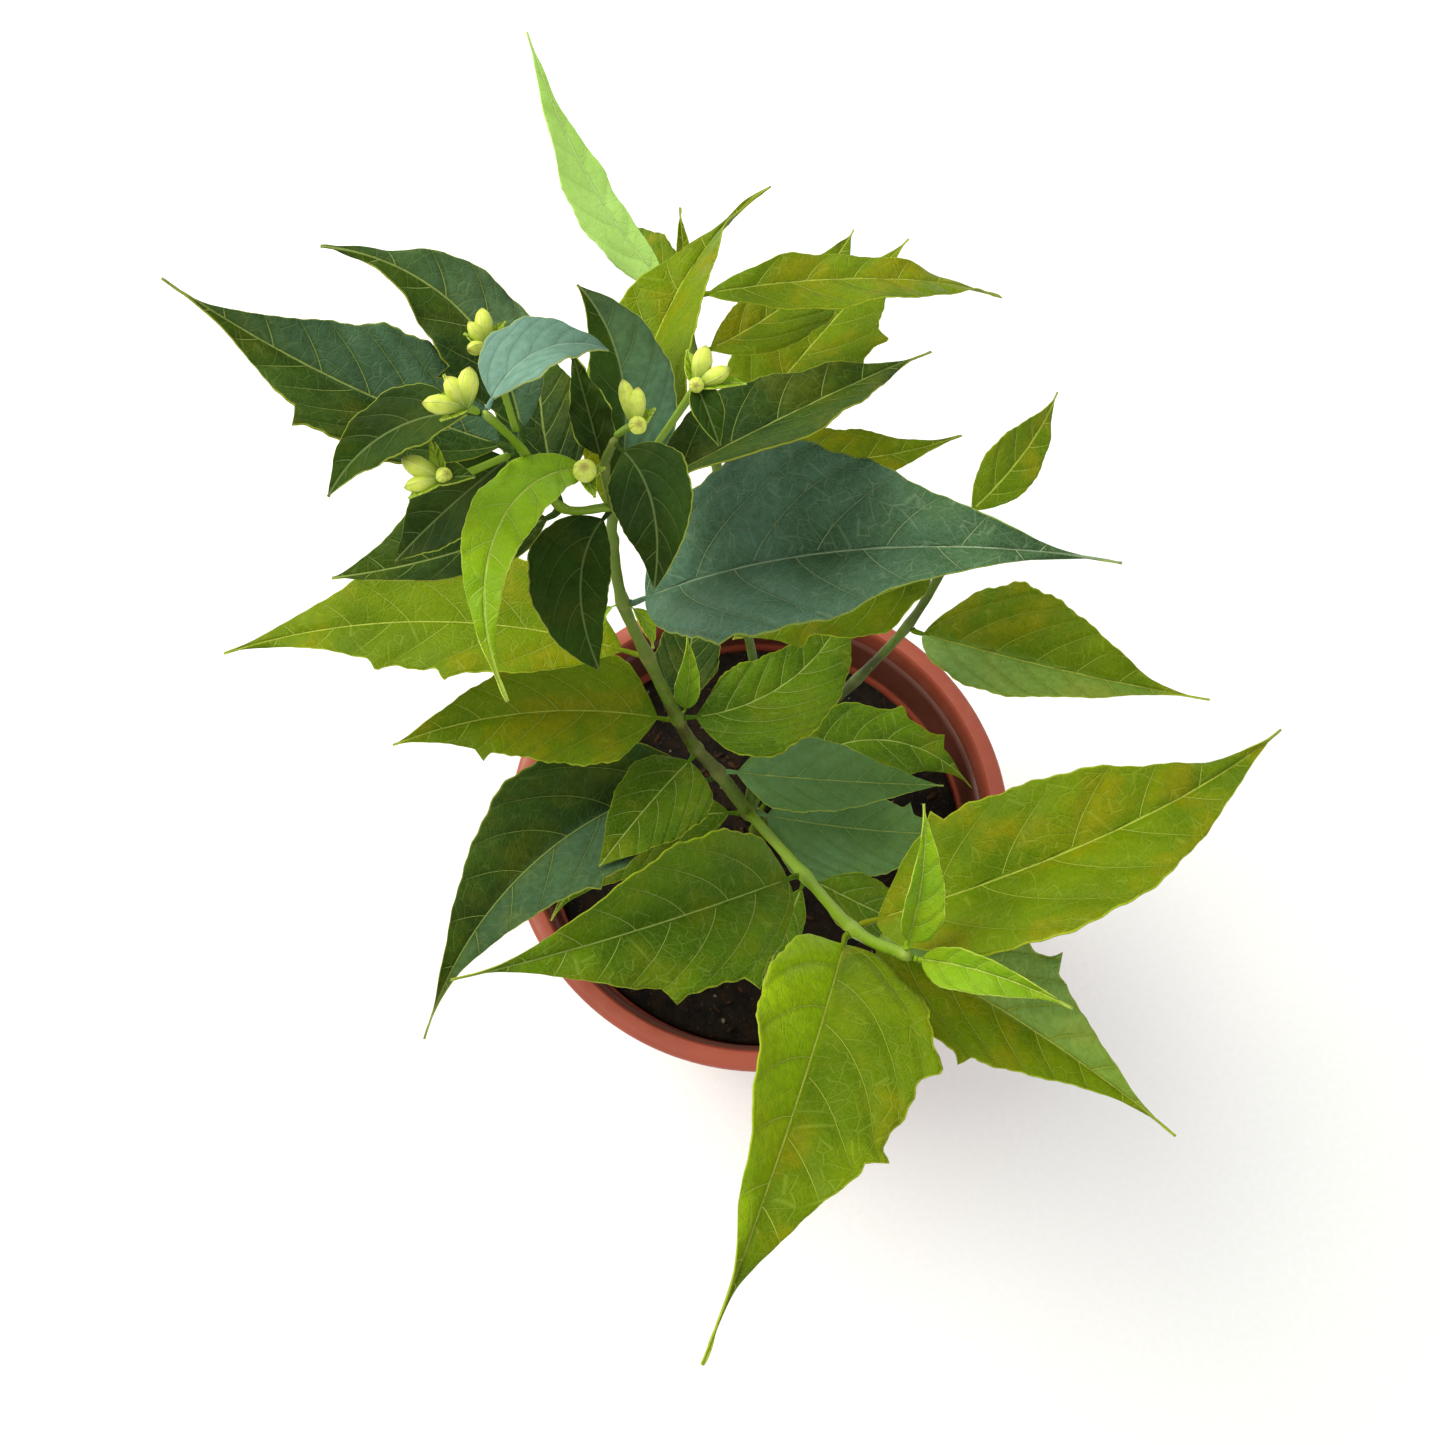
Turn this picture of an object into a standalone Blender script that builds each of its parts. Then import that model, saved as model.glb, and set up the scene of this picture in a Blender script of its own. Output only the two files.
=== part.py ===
"""Potted coral jasmine: a branching shrub in a round plastic nursery pot, +Z up, in metres."""

import math

import bpy
from mathutils import Matrix, Vector

MM = 0.001

# Pot, in millimetres.
POT_HEIGHT = 175
RIM_RADIUS = 100
COLLAR_HEIGHT = 30
FLOOR_TOP = 5
SOIL_TOP = POT_HEIGHT - 32
POT_SIDES = 40
DRAIN_RADIUS = 5
DRAIN_RING = 43
DRAIN_COUNT = 6
DRAIN_TURN = 4
GAP = 0.3

# Stems.
STEM_SIDES = 8
WELL_RADIUS = 6
WELL_DEPTH = 40

# Nodes where leaves and branches leave the stems, in millimetres from the middle of the pot's foot.
NODES = {
    "foot": (0, 0, 105),
    "soil": (1, 0, 150),
    "base": (-1, -3, 180),
    "fork": (-5, -8, 203),
    "under": (-16, -1, 228),
    "low": (-24, 4, 240),
    "mid": (-30, 7, 262),
    "bend": (-38, 11, 305),
    "high": (-43, 12, 340),
    "throat": (-43, 11, 378),
    "neck": (-41, 8, 400),
    "crown": (-41, 5, 422),
    "tip": (-38, 5, 433),
    "front_1": (12, -48, 263),
    "front_2": (21, -79, 326),
    "front_3": (31, -91, 353),
    "right_0": (10, 12, 222),
    "right_1": (33, 27, 249),
    "right_2": (46, 30, 287),
    "right_3": (52, 32, 325),
    "right_4": (52, 31, 354),
    "back_0": (-2, 20, 245),
    "back_1": (-11, 44, 300),
    "back_mid": (-17, 64, 334),
    "back_2": (-23, 80, 362),
    "back_3": (-25, 86, 380),
    "left_1": (-52, 2, 410),
    "left_2": (-57, 0, 437),
    "left_3": (-60, -8, 462),
}

MAIN_NODES = (
    "foot", "soil", "base", "fork", "under", "low", "mid", "bend", "high", "throat", "neck", "crown", "tip",
)

# Each stem: the nodes it runs through and its radius at the start and at the end.
STEMS = {
    "stem_main": (MAIN_NODES, 3.3, 0.9),
    "stem_front": (("fork", "front_1", "front_2", "front_3"), 2.0, 1.5),
    "stem_right": (("fork", "right_0", "right_1", "right_2", "right_3", "right_4"), 1.9, 1.3),
    "stem_back": (("fork", "back_0", "back_1", "back_mid", "back_2", "back_3"), 1.8, 1.2),
    "stem_left": (("neck", "left_1", "left_2", "left_3"), 1.1, 0.8),
}

# Shares of a leaf.
PETIOLE = 0.06
PETIOLE_RADIUS = 0.9
LEAF_THICKNESS = 0.5
MIDRIB_DEPTH = 0.7

# Leaf kinds: breadth is the blade's full width as a share of the leaf's length, widest is the place of that
# width, foot is how straight the edges run out from the stalk, taper is how hollow they are towards the tip,
# and fold is how far each half lifts, in degrees.
LEAF_KINDS = {
    "drawn_out": {"breadth": 0.40, "widest": 0.34, "foot": 0.75, "taper": 2.3, "fold": 25},
    "tapered": {"breadth": 0.46, "widest": 0.26, "foot": 0.95, "taper": 1.4, "fold": 20},
    "slender": {"breadth": 0.32, "widest": 0.36, "foot": 0.8, "taper": 1.7, "fold": 12},
    "rounded": {"breadth": 0.60, "widest": 0.36, "foot": 0.85, "taper": 1.1, "fold": 16},
    "folded": {"breadth": 0.28, "widest": 0.30, "foot": 0.8, "taper": 1.6, "fold": 34},
}

TOOTH = 4


def leaf(node, kind, length, aim, rise, sweep=0, droop=20, broad=1.0, lean=0.0, roll=0, twist=0, teeth=()):
    """One leaf: where it leaves the stem, its kind and length, and how it is aimed, arched and turned."""
    half = LEAF_KINDS[kind]["breadth"] * length * broad / 2
    return {
        "node": node,
        "length": length,
        "aim": aim,
        "sweep": sweep,
        "rise": rise,
        "droop": droop,
        "left": half * (1 + lean),
        "right": half * (1 - lean),
        "widest": LEAF_KINDS[kind]["widest"],
        "foot": LEAF_KINDS[kind]["foot"],
        "taper": LEAF_KINDS[kind]["taper"],
        "fold": LEAF_KINDS[kind]["fold"],
        "roll": roll,
        "twist": twist,
        "teeth": teeth,
    }


# Length in millimetres and angles in degrees. Aim turns from +X to +Y, and rise is the slope where the leaf starts.
# Sweep is how far the aim turns and droop how far the slope falls by the tip. Lean makes the left half wider.
# A tooth is (side, place along the blade), and side 1 is left.
LEAVES = {
    "leaf_left_1": leaf(
        "left_2", "drawn_out", 75, 170, 15, sweep=-15, droop=-15, broad=1.1, lean=0.1,
        teeth=((1, 0.52),),
    ),
    "leaf_left_2": leaf("left_2", "slender", 60, 95, 30, sweep=95, droop=10, broad=1.1, teeth=((1, 0.3),)),
    "leaf_left_3": leaf("left_3", "rounded", 30, 65, 20, sweep=-60, droop=60, roll=-15),
    "leaf_left_4": leaf("left_3", "rounded", 35, 175, 0, sweep=60, droop=30, broad=0.7),
    "leaf_left_5": leaf("left_1", "tapered", 55, 215, 10, sweep=-40, droop=30, lean=-0.3),
    "leaf_left_6": leaf("left_1", "rounded", 42, 108, 20, sweep=-20, droop=35, broad=0.9),
    "leaf_left_7": leaf("left_2", "rounded", 38, 204, -28, sweep=5, droop=10, broad=0.9),
    "leaf_arched": leaf("crown", "slender", 75, 215, 55, sweep=80, droop=90, broad=0.6, roll=-5, twist=10),
    "leaf_crown_1": leaf("neck", "rounded", 55, 70, 40, sweep=60, droop=40, broad=0.65, lean=-0.2),
    "leaf_crown_2": leaf(
        "tip", "rounded", 35, -50, 20, sweep=-55, droop=70, broad=0.9,
        lean=0.1, roll=10, twist=20,
    ),
    "leaf_crown_3": leaf("crown", "folded", 25, 108, 50, broad=1.6),
    "leaf_crown_4": leaf("neck", "rounded", 42, 238, 15, sweep=65, droop=80, broad=0.8, lean=-0.3, roll=-10),
    "leaf_crown_6": leaf(
        "neck", "drawn_out", 95, 25, 15, sweep=15, droop=40, broad=0.9,
        lean=-0.2, roll=-35, twist=35,
    ),
    "leaf_crown_7": leaf(
        "throat", "drawn_out", 110, 84, 35, sweep=-34, droop=50,
        broad=0.8, lean=-0.2, roll=-15, twist=-20,
    ),
    "leaf_broad": leaf(
        "high", "drawn_out", 138, -2, 45, sweep=-15, droop=35, broad=1.05, lean=0.02, twist=10,
        teeth=((1, 0.4), (-1, 0.3)),
    ),
    "leaf_back_1": leaf("back_3", "slender", 75, 150, 35, sweep=-35, droop=-20, broad=0.7, lean=0.4, twist=30),
    "leaf_back_2": leaf("back_3", "slender", 55, 130, -15, sweep=-15, droop=5, broad=0.9, lean=-0.3),
    "leaf_back_3": leaf("back_3", "folded", 22, 95, 45, broad=0.8),
    "leaf_back_4": leaf(
        "back_3", "slender", 100, 5, 10, sweep=15, droop=50, broad=0.7,
        lean=-0.2, twist=-20,
    ),
    "leaf_back_5": leaf("back_2", "slender", 70, 25, 5, sweep=45, droop=20, broad=1.1, lean=-0.2),
    "leaf_back_6": leaf("back_mid", "slender", 110, 55, 0, droop=10, broad=1.1, teeth=((-1, 0.55),)),
    "leaf_back_7": leaf("back_mid", "slender", 75, -10, 0, sweep=35, droop=5, broad=0.9),
    "leaf_right_2": leaf(
        "right_4", "slender", 50, 42, 5, sweep=25, droop=10, broad=1.0,
        lean=0.1, roll=10, twist=30,
    ),
    "leaf_right_3": leaf("right_2", "drawn_out", 95, -35, 30, sweep=20, droop=20, broad=1.1, lean=0.1),
    "leaf_right_4": leaf("right_3", "slender", 70, 215, 15, sweep=-45, droop=60, broad=1.0),
    "leaf_right_5": leaf("right_4", "slender", 55, 165, -5, droop=15),
    "leaf_mid_1": leaf(
        "mid", "tapered", 75, 0, 10, sweep=75, droop=10, broad=1.1,
        lean=-0.3, roll=-5, twist=10,
    ),
    "leaf_mid_2": leaf("mid", "folded", 30, 70, 60, sweep=30, droop=10, broad=1.2),
    "leaf_mid_3": leaf(
        "bend", "slender", 130, 165, 10, sweep=30, droop=20, lean=-0.1, roll=5, twist=-10,
        teeth=((1, 0.42), (1, 0.6)),
    ),
    "leaf_mid_4": leaf("mid", "tapered", 92, 178, 25, sweep=25, droop=25, twist=-25, teeth=((1, 0.7),)),
    "leaf_mid_5": leaf("high", "folded", 15, 200, -25, sweep=60, droop=60, broad=1.5),
    "leaf_mid_6": leaf("high", "folded", 15, -30, -20, sweep=-60, droop=50, broad=1.2),
    "leaf_low_1": leaf(
        "under", "drawn_out", 140, 195, 20, sweep=60, droop=30, roll=15, twist=-20,
        teeth=((1, 0.44), (-1, 0.2)),
    ),
    "leaf_low_2": leaf("low", "rounded", 55, 235, 30, droop=30, lean=0.2),
    "leaf_low_3": leaf("fork", "slender", 85, 180, 10, sweep=60, droop=30, broad=1.1, lean=0.2),
    "leaf_low_4": leaf(
        "fork", "tapered", 80, -15, 10, sweep=20, droop=25, broad=1.1, lean=-0.2, roll=5, twist=5,
        teeth=((1, 0.55), (1, 0.7)),
    ),
    "leaf_low_5": leaf(
        "base", "slender", 105, 60, 10, sweep=-105, droop=40, broad=1.2, lean=-0.2,
        teeth=((1, 0.62), (1, 0.78)),
    ),
    "leaf_low_6": leaf("mid", "rounded", 48, 82, -5, droop=15, broad=0.8),
    "leaf_low_7": leaf("under", "tapered", 78, -8, 5, sweep=10, droop=15, broad=0.85),
    "leaf_front_1": leaf(
        "front_1", "drawn_out", 120, 213, 45, sweep=-20, droop=45, roll=-15, twist=-15,
        teeth=((1, 0.5), (1, 0.3)),
    ),
    "leaf_front_2": leaf(
        "front_2", "drawn_out", 135, 5, 50, sweep=35, droop=80, broad=0.85, lean=-0.1, roll=-20, twist=20,
        teeth=((1, 0.2),),
    ),
    "leaf_front_3": leaf(
        "front_2", "drawn_out", 92, -30, 15, sweep=-10, droop=20,
        teeth=((1, 0.48), (-1, 0.4)),
    ),
    "leaf_front_4": leaf(
        "front_2", "drawn_out", 122, -108, 50, sweep=-5, droop=45, broad=0.95, lean=0.15, twist=-35,
        teeth=((1, 0.35), (1, 0.55)),
    ),
    "leaf_front_5": leaf("front_3", "folded", 40, 75, 65, sweep=20, droop=40, lean=-0.3),
    "leaf_front_6": leaf(
        "front_3", "folded", 42, -20, 55, sweep=-10, droop=50,
        lean=-0.2, roll=10, twist=20,
    ),
    "leaf_front_7": leaf("front_1", "rounded", 45, -25, -15, sweep=15, droop=30, broad=0.8, lean=-0.1),
    "leaf_front_8": leaf("front_1", "slender", 42, 245, -40, droop=10, broad=0.9),
}

# Flower clusters: the path of the stalk, then buds as (length, radius, aim, rise)
# and bracts as (length, half width, aim, rise), in millimetres and degrees.
CLUSTERS = {
    "buds_left_upper": {
        "stalk": ((-58, 2.8, 440), (-60, 8, 449), (-62, 12, 456)),
        "buds": ((8.5, 1.8, 98, 20), (6.5, 1.4, 135, 35), (6, 1.4, 225, 35)),
        "bracts": ((7, 1.6, 55, 25), (6, 1.5, 150, 20)),
    },
    "buds_left_middle": {
        "stalk": ((-61, -9.6, 465), (-62, -12, 470)),
        "buds": ((8, 1.9, 75, 45), (8.5, 1.8, 185, 15), (7, 1.8, 130, 45)),
        "bracts": ((8, 1.8, 125, 25), (6, 1.6, 215, 15), (7, 2, 150, 5)),
    },
    "buds_left_lower": {
        "stalk": ((-59.5, -3, 439.5), (-66, -14, 450), (-69, -18, 455)),
        "buds": ((9, 2.0, 160, 20), (8, 1.6, 200, 5), (4, 1.6, 340, 60)),
        "bracts": ((9, 1.6, 105, 35), (8, 1.7, 215, 10), (8, 3, -8, 30)),
    },
    "buds_centre": {
        "stalk": ((-37.2, 4.4, 436), (-34, 1, 444), (-32, -3, 450)),
        "buds": ((10.5, 1.7, 108, 25), (8.5, 1.7, 85, 40), (4, 1.8, -60, 65)),
        "bracts": ((9, 1.7, 100, 10), (6, 1.7, 40, 35)),
    },
    "bud_round": {
        "stalk": ((-42.5, 2.6, 425), (-44, -3, 432), (-43, -7, 438)),
        "buds": ((6, 2.4, 260, 80),),
        "bracts": ((6, 1.8, 290, 15), (5, 1.6, 20, 30)),
    },
    "buds_right": {
        "stalk": ((-38.5, 9.6, 404), (-27, 11, 428), (-20, 12, 443)),
        "buds": ((9, 2.1, 75, 30), (8.5, 1.8, 15, 25), (4, 1.6, 262, 55)),
        "bracts": ((9, 2.1, 105, 20), (11, 2.1, 0, 15), (14, 4, 292, -12)),
    },
}


def direction(aim, rise):
    """Unit vector that points along a compass aim and a rise above the horizontal."""
    aim = math.radians(aim)
    rise = math.radians(rise)
    return Vector((math.cos(rise) * math.cos(aim), math.cos(rise) * math.sin(aim), math.sin(rise)))


def frame_at(aim, rise, roll=0):
    """Forward, sideways (to the left) and upward unit vectors of a leaf or bud."""
    forward = direction(aim, rise)
    side = Vector((-math.sin(math.radians(aim)), math.cos(math.radians(aim)), 0))
    upward = forward.cross(side)
    turn = Matrix.Rotation(math.radians(roll), 3, forward)
    return forward, turn @ side, turn @ upward


def clear_scene():
    for item in list(bpy.data.objects):
        bpy.data.objects.remove(item, do_unlink=True)


def material(name, colour, roughness, metallic=0.0):
    made = bpy.data.materials.new(name)
    made.use_nodes = True
    shader = made.node_tree.nodes["Principled BSDF"]
    shader.inputs["Base Color"].default_value = (*colour, 1.0)
    shader.inputs["Roughness"].default_value = roughness
    shader.inputs["Metallic"].default_value = metallic
    return made


def add_object(name, points, faces, paint, smooth=True):
    mesh = bpy.data.meshes.new(name)
    mesh.from_pydata([Vector(point) * MM for point in points], [], faces)
    mesh.validate()
    for face in mesh.polygons:
        face.use_smooth = smooth
    mesh.materials.append(paint)
    made = bpy.data.objects.new(name, mesh)
    bpy.context.scene.collection.objects.link(made)
    return made


def loft(rings, start, end, paired=False):
    """Points and faces of a closed skin over rings of equal size, closed by a point at each end.

    Paired quads are split so that the two skins of a thin blade bend along the same diagonals.
    """
    count = len(rings[0])
    points = [start]
    for ring in rings:
        points.extend(ring)
    points.append(end)
    faces = []
    for step in range(count):
        following = (step + 1) % count
        faces.append((0, 1 + following, 1 + step))
    for row in range(len(rings) - 1):
        base = 1 + row * count
        for step in range(count):
            following = (step + 1) % count
            near = base + step
            beside = base + following
            far = near + count
            across = beside + count
            if not paired:
                faces.append((near, beside, across, far))
            elif step < count // 2:
                faces.append((near, beside, across))
                faces.append((near, across, far))
            else:
                faces.append((near, beside, far))
                faces.append((beside, across, far))
    base = 1 + (len(rings) - 1) * count
    last = len(points) - 1
    for step in range(count):
        following = (step + 1) % count
        faces.append((base + step, base + following, last))
    return points, faces


def revolve(profile, sides):
    """Points and faces of a closed body of revolution whose profile starts and ends on the axis."""
    rings = []
    for radius, height in profile[1:-1]:
        ring = []
        for step in range(sides):
            angle = 2 * math.pi * step / sides
            ring.append(Vector((radius * math.cos(angle), radius * math.sin(angle), height)))
        rings.append(ring)
    return loft(rings, Vector((0, 0, profile[0][1])), Vector((0, 0, profile[-1][1])))


def pot_profile():
    collar_foot = POT_HEIGHT - COLLAR_HEIGHT
    lip = RIM_RADIUS
    outside = [
        (0, 0), (30, 0), (31, 2), (56, 2), (57, 0), (67, 0), (68.5, 1.5),
        (89.5, collar_foot - 2), (90.2, collar_foot), (96, collar_foot + 0.8), (97, collar_foot + 2.5),
        (lip, POT_HEIGHT - 3), (lip - 0.9, POT_HEIGHT - 0.8), (lip - 2.6, POT_HEIGHT),
    ]
    inside = [
        (lip - 6.6, POT_HEIGHT), (lip - 7.8, POT_HEIGHT - 1), (lip - 8.6, POT_HEIGHT - 10),
        (lip - 10.6, POT_HEIGHT - 11.5), (lip - 12, collar_foot + 1), (86.8, collar_foot - 2),
        (65.5, FLOOR_TOP + 1.5), (64, FLOOR_TOP), (0, FLOOR_TOP),
    ]
    return outside + inside


def add_pot():
    points, faces = revolve(pot_profile(), POT_SIDES)
    pot = add_object("pot", points, faces, material("terracotta_plastic", (0.45, 0.13, 0.09), 0.45))
    for index in range(DRAIN_COUNT):
        angle = 2 * math.pi * index / DRAIN_COUNT + math.radians(DRAIN_TURN)
        cutter_rings = []
        for height in (-5, FLOOR_TOP + 5):
            ring = []
            for step in range(16):
                turn = 2 * math.pi * step / 16
                across = DRAIN_RING * math.cos(angle) + DRAIN_RADIUS * math.cos(turn)
                along = DRAIN_RING * math.sin(angle) + DRAIN_RADIUS * math.sin(turn)
                ring.append(Vector((across, along, height)))
            cutter_rings.append(ring)
        middle = Vector((DRAIN_RING * math.cos(angle), DRAIN_RING * math.sin(angle), 0))
        low = middle + Vector((0, 0, -5))
        high = middle + Vector((0, 0, FLOOR_TOP + 5))
        points, faces = loft(cutter_rings, low, high)
        cutter = add_object(f"drain_cutter_{index}", points, faces, pot.data.materials[0])
        cutter.hide_render = True
        cutter.display_type = "WIRE"
        cut = pot.modifiers.new(f"drain_{index}", "BOOLEAN")
        cut.operation = "DIFFERENCE"
        cut.solver = "EXACT"
        cut.object = cutter
    return pot


def soil_height(radius, angle):
    """Gently uneven top of the soil."""
    return SOIL_TOP + 1.2 * math.sin(3 * angle + 0.06 * radius) + 0.9 * math.cos(5 * angle - 0.09 * radius)


def add_soil():
    wall_slope = (86.8 - 65.5) / (POT_HEIGHT - COLLAR_HEIGHT - 2 - FLOOR_TOP - 1.5)
    edge = 65.5 + wall_slope * (SOIL_TOP - 3 - FLOOR_TOP - 1.5) - GAP
    profile = [
        (62, FLOOR_TOP + GAP), (65.2, FLOOR_TOP + 1.5 + GAP), (edge, SOIL_TOP - 3),
        (84, None), (66, None), (48, None), (32, None), (18, None), (9, None), (WELL_RADIUS, None),
        (WELL_RADIUS, SOIL_TOP - WELL_DEPTH),
    ]
    rings = []
    for radius, height in profile:
        ring = []
        for step in range(POT_SIDES):
            angle = 2 * math.pi * step / POT_SIDES
            level = soil_height(radius, angle) if height is None else height
            ring.append(Vector((radius * math.cos(angle), radius * math.sin(angle), level)))
        rings.append(ring)
    start = Vector((0, 0, FLOOR_TOP + GAP))
    end = Vector((0, 0, SOIL_TOP - WELL_DEPTH))
    points, faces = loft(rings, start, end)
    return add_object("soil", points, faces, material("potting_soil", (0.035, 0.02, 0.012), 0.95))


def smooth_path(points, steps):
    """Catmull-Rom curve through the points."""
    padded = [points[0] * 2 - points[1]] + points + [points[-1] * 2 - points[-2]]
    path = []
    for index in range(1, len(padded) - 2):
        before, here, ahead, beyond = padded[index - 1:index + 3]
        for step in range(steps):
            t = step / steps
            path.append(0.5 * (
                2 * here
                + (ahead - before) * t
                + (2 * before - 5 * here + 4 * ahead - beyond) * t * t
                + (3 * here - before - 3 * ahead + beyond) * t ** 3
            ))
    path.append(points[-1].copy())
    return path


def tube(path, radii, sides):
    """Points and faces of a round closed tube along a path, with a rounded end."""
    rings = []
    side = None
    for index, centre in enumerate(path):
        ahead = path[min(index + 1, len(path) - 1)]
        behind = path[max(index - 1, 0)]
        forward = (ahead - behind).normalized()
        if side is None:
            side = forward.orthogonal().normalized()
        side = (side - forward * side.dot(forward)).normalized()
        other = forward.cross(side)
        ring = []
        for step in range(sides):
            angle = 2 * math.pi * step / sides
            ring.append(centre + radii[index] * (side * math.cos(angle) + other * math.sin(angle)))
        rings.append(ring)
    return loft(rings, path[0].copy(), path[-1].copy())


def node_radius(node):
    """Stem radius at a node, from the stem that runs through it."""
    for name, (nodes, start, end) in STEMS.items():
        if node in nodes[1:]:
            return start + (end - start) * nodes.index(node) / (len(nodes) - 1)
    return 2.0


def node_direction(node):
    """Direction of the stem that runs through a node."""
    for nodes, _, _ in STEMS.values():
        if node in nodes[1:]:
            index = nodes.index(node)
            behind = Vector(NODES[nodes[index - 1]])
            ahead = Vector(NODES[nodes[min(index + 1, len(nodes) - 1)]])
            return (ahead - behind).normalized()
    return Vector((0, 0, 1))


def add_stem(name, paint):
    nodes, start_radius, end_radius = STEMS[name]
    controls = [Vector(NODES[node]) for node in nodes]
    if name != "stem_main":
        reach = (controls[1] - controls[0]).normalized()
        along = node_direction(nodes[0])
        clear = (reach - along * reach.dot(along)).length
        standoff = node_radius(nodes[0]) + start_radius * 0.8 + GAP
        controls[0] = controls[0] + reach * (standoff / max(clear, 0.5))
    steps = 3
    path = smooth_path(controls, steps)
    radii = []
    for index in range(len(path)):
        share = index / (len(path) - 1)
        radius = start_radius + (end_radius - start_radius) * share
        if index % steps == 0 and 0 < index < len(path) - 1:
            radius *= 1.15
        radii.append(radius)
    points, faces = tube(path, radii, STEM_SIDES)
    return add_object(name, points, faces, paint)


def leaf_start(spec):
    """Point beside the stem where the petiole starts, clear of the stem by a small gap."""
    node = Vector(NODES[spec["node"]])
    along = node_direction(spec["node"])
    reach = direction(spec["aim"], spec["rise"])
    away = reach - along * reach.dot(along)
    if away.length < 0.3:
        away = direction(spec["aim"], 0)
        away = away - along * away.dot(along)
    return node + away.normalized() * (node_radius(spec["node"]) * 1.15 + PETIOLE_RADIUS + GAP)


def half_width(spec, side, place):
    """Half width of the blade at a place from 0 at its base to 1 at its tip."""
    full = spec["left"] if side > 0 else spec["right"]
    widest = spec["widest"]
    if place < widest:
        share = math.sin(math.pi / 2 * max(place / widest, 0.0) ** spec["foot"])
    else:
        share = max(math.cos(math.pi / 2 * min((place - widest) / (1 - widest), 1.0)), 0.0) ** spec["taper"]
    width = full * share
    for tooth_side, tooth_place in spec["teeth"]:
        offset = place - tooth_place
        if tooth_side != side:
            continue
        if -0.08 < offset <= 0:
            width += TOOTH * (1 + offset / 0.08) ** 2
        elif 0 < offset < 0.025:
            width += TOOTH * (1 - offset / 0.025)
    return width


def blade_places(spec, count):
    """Places along the blade, with extra ones at each tooth."""
    places = {round(index / count, 4) for index in range(1, count)}
    places.update((0.03, 0.97))
    for _, tooth in spec["teeth"]:
        places = {place for place in places if abs(place - tooth) > 0.03}
        places.update((tooth - 0.04, tooth, tooth + 0.026))
    return sorted(places)


def leaf_spine(spec, shares):
    """Point and unit vectors along the leaf at each share of its length."""
    fine = 120
    point = leaf_start(spec)
    spine = []
    wanted = list(shares)
    for index in range(fine + 1):
        share = index / fine
        roll = spec["roll"] + spec["twist"] * share
        here = frame_at(spec["aim"] + spec["sweep"] * share, spec["rise"] - spec["droop"] * share, roll)
        while wanted and wanted[0] <= share + 1e-9:
            extra = (wanted[0] - share) * spec["length"]
            spine.append((point + here[0] * extra, here))
            wanted.pop(0)
        point = point + here[0] * spec["length"] / fine
    return spine


def leaf_skin(spec, count):
    """Rings of eight points: a round petiole, then a folded blade that is thickest at its midrib."""
    places = blade_places(spec, count)
    shares = [0.0, PETIOLE * 0.9] + [PETIOLE + (1 - PETIOLE) * place for place in places] + [1.0]
    spine = leaf_spine(spec, shares)
    rings = []
    for index, (centre, (_, side, upward)) in enumerate(spine[:-1]):
        if index < 2:
            ring = []
            for step in range(8):
                angle = 2 * math.pi * step / 8
                ring.append(centre + PETIOLE_RADIUS * (side * math.cos(angle) + upward * math.sin(angle)))
            rings.append(ring)
            continue
        place = places[index - 2]
        tilt = math.radians(spec["fold"])
        slim = min(1.0, 3 * (1 - place) + 0.15)
        left = max(half_width(spec, 1, place), 0.35)
        right = max(half_width(spec, -1, place), 0.35)
        left_edge = centre + left * (side * math.cos(tilt) + upward * math.sin(tilt))
        right_edge = centre + right * (-side * math.cos(tilt) + upward * math.sin(tilt))
        skin = upward * LEAF_THICKNESS / 2 * slim
        left_half = centre + (left_edge - centre) * 0.5
        right_half = centre + (right_edge - centre) * 0.5
        rings.append([
            left_edge,
            left_half + skin,
            centre + skin,
            right_half + skin,
            right_edge,
            right_half - skin,
            centre - upward * MIDRIB_DEPTH * slim,
            left_half - skin,
        ])
    return loft(rings, spine[0][0], spine[-1][0], paired=True)


def add_leaf(name, paint):
    spec = LEAVES[name]
    points, faces = leaf_skin(spec, 9 if spec["length"] > 60 else 7)
    return add_object(name, points, faces, paint)


def bud_skin(base, aim, rise, length, radius):
    """Closed calyx: a narrow foot that swells and closes at the tip."""
    forward, side, upward = frame_at(aim, rise)
    rings = []
    for share, width in ((0.0, 0.35), (0.2, 0.6), (0.45, 0.95), (0.7, 1.0), (0.9, 0.62)):
        ring = []
        for step in range(8):
            angle = 2 * math.pi * step / 8
            around = side * math.cos(angle) + upward * math.sin(angle)
            ring.append(base + forward * length * share + radius * width * around)
        rings.append(ring)
    return loft(rings, base, base + forward * length)


def bract_skin(base, aim, rise, length, half):
    """Small pointed leaf beside a bud, cupped upward."""
    forward, side, upward = frame_at(aim, rise)
    rings = []
    for share, width in ((0.0, 0.25), (0.2, 0.8), (0.45, 1.0), (0.75, 0.6), (0.94, 0.15)):
        centre = base + forward * length * share
        edge = side * half * width
        lift = upward * 0.35 * half * width
        skin = upward * 0.3
        rings.append([
            centre + edge + lift,
            centre + skin,
            centre - edge + lift,
            centre - skin,
        ])
    return loft(rings, base, base + forward * length)


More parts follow.
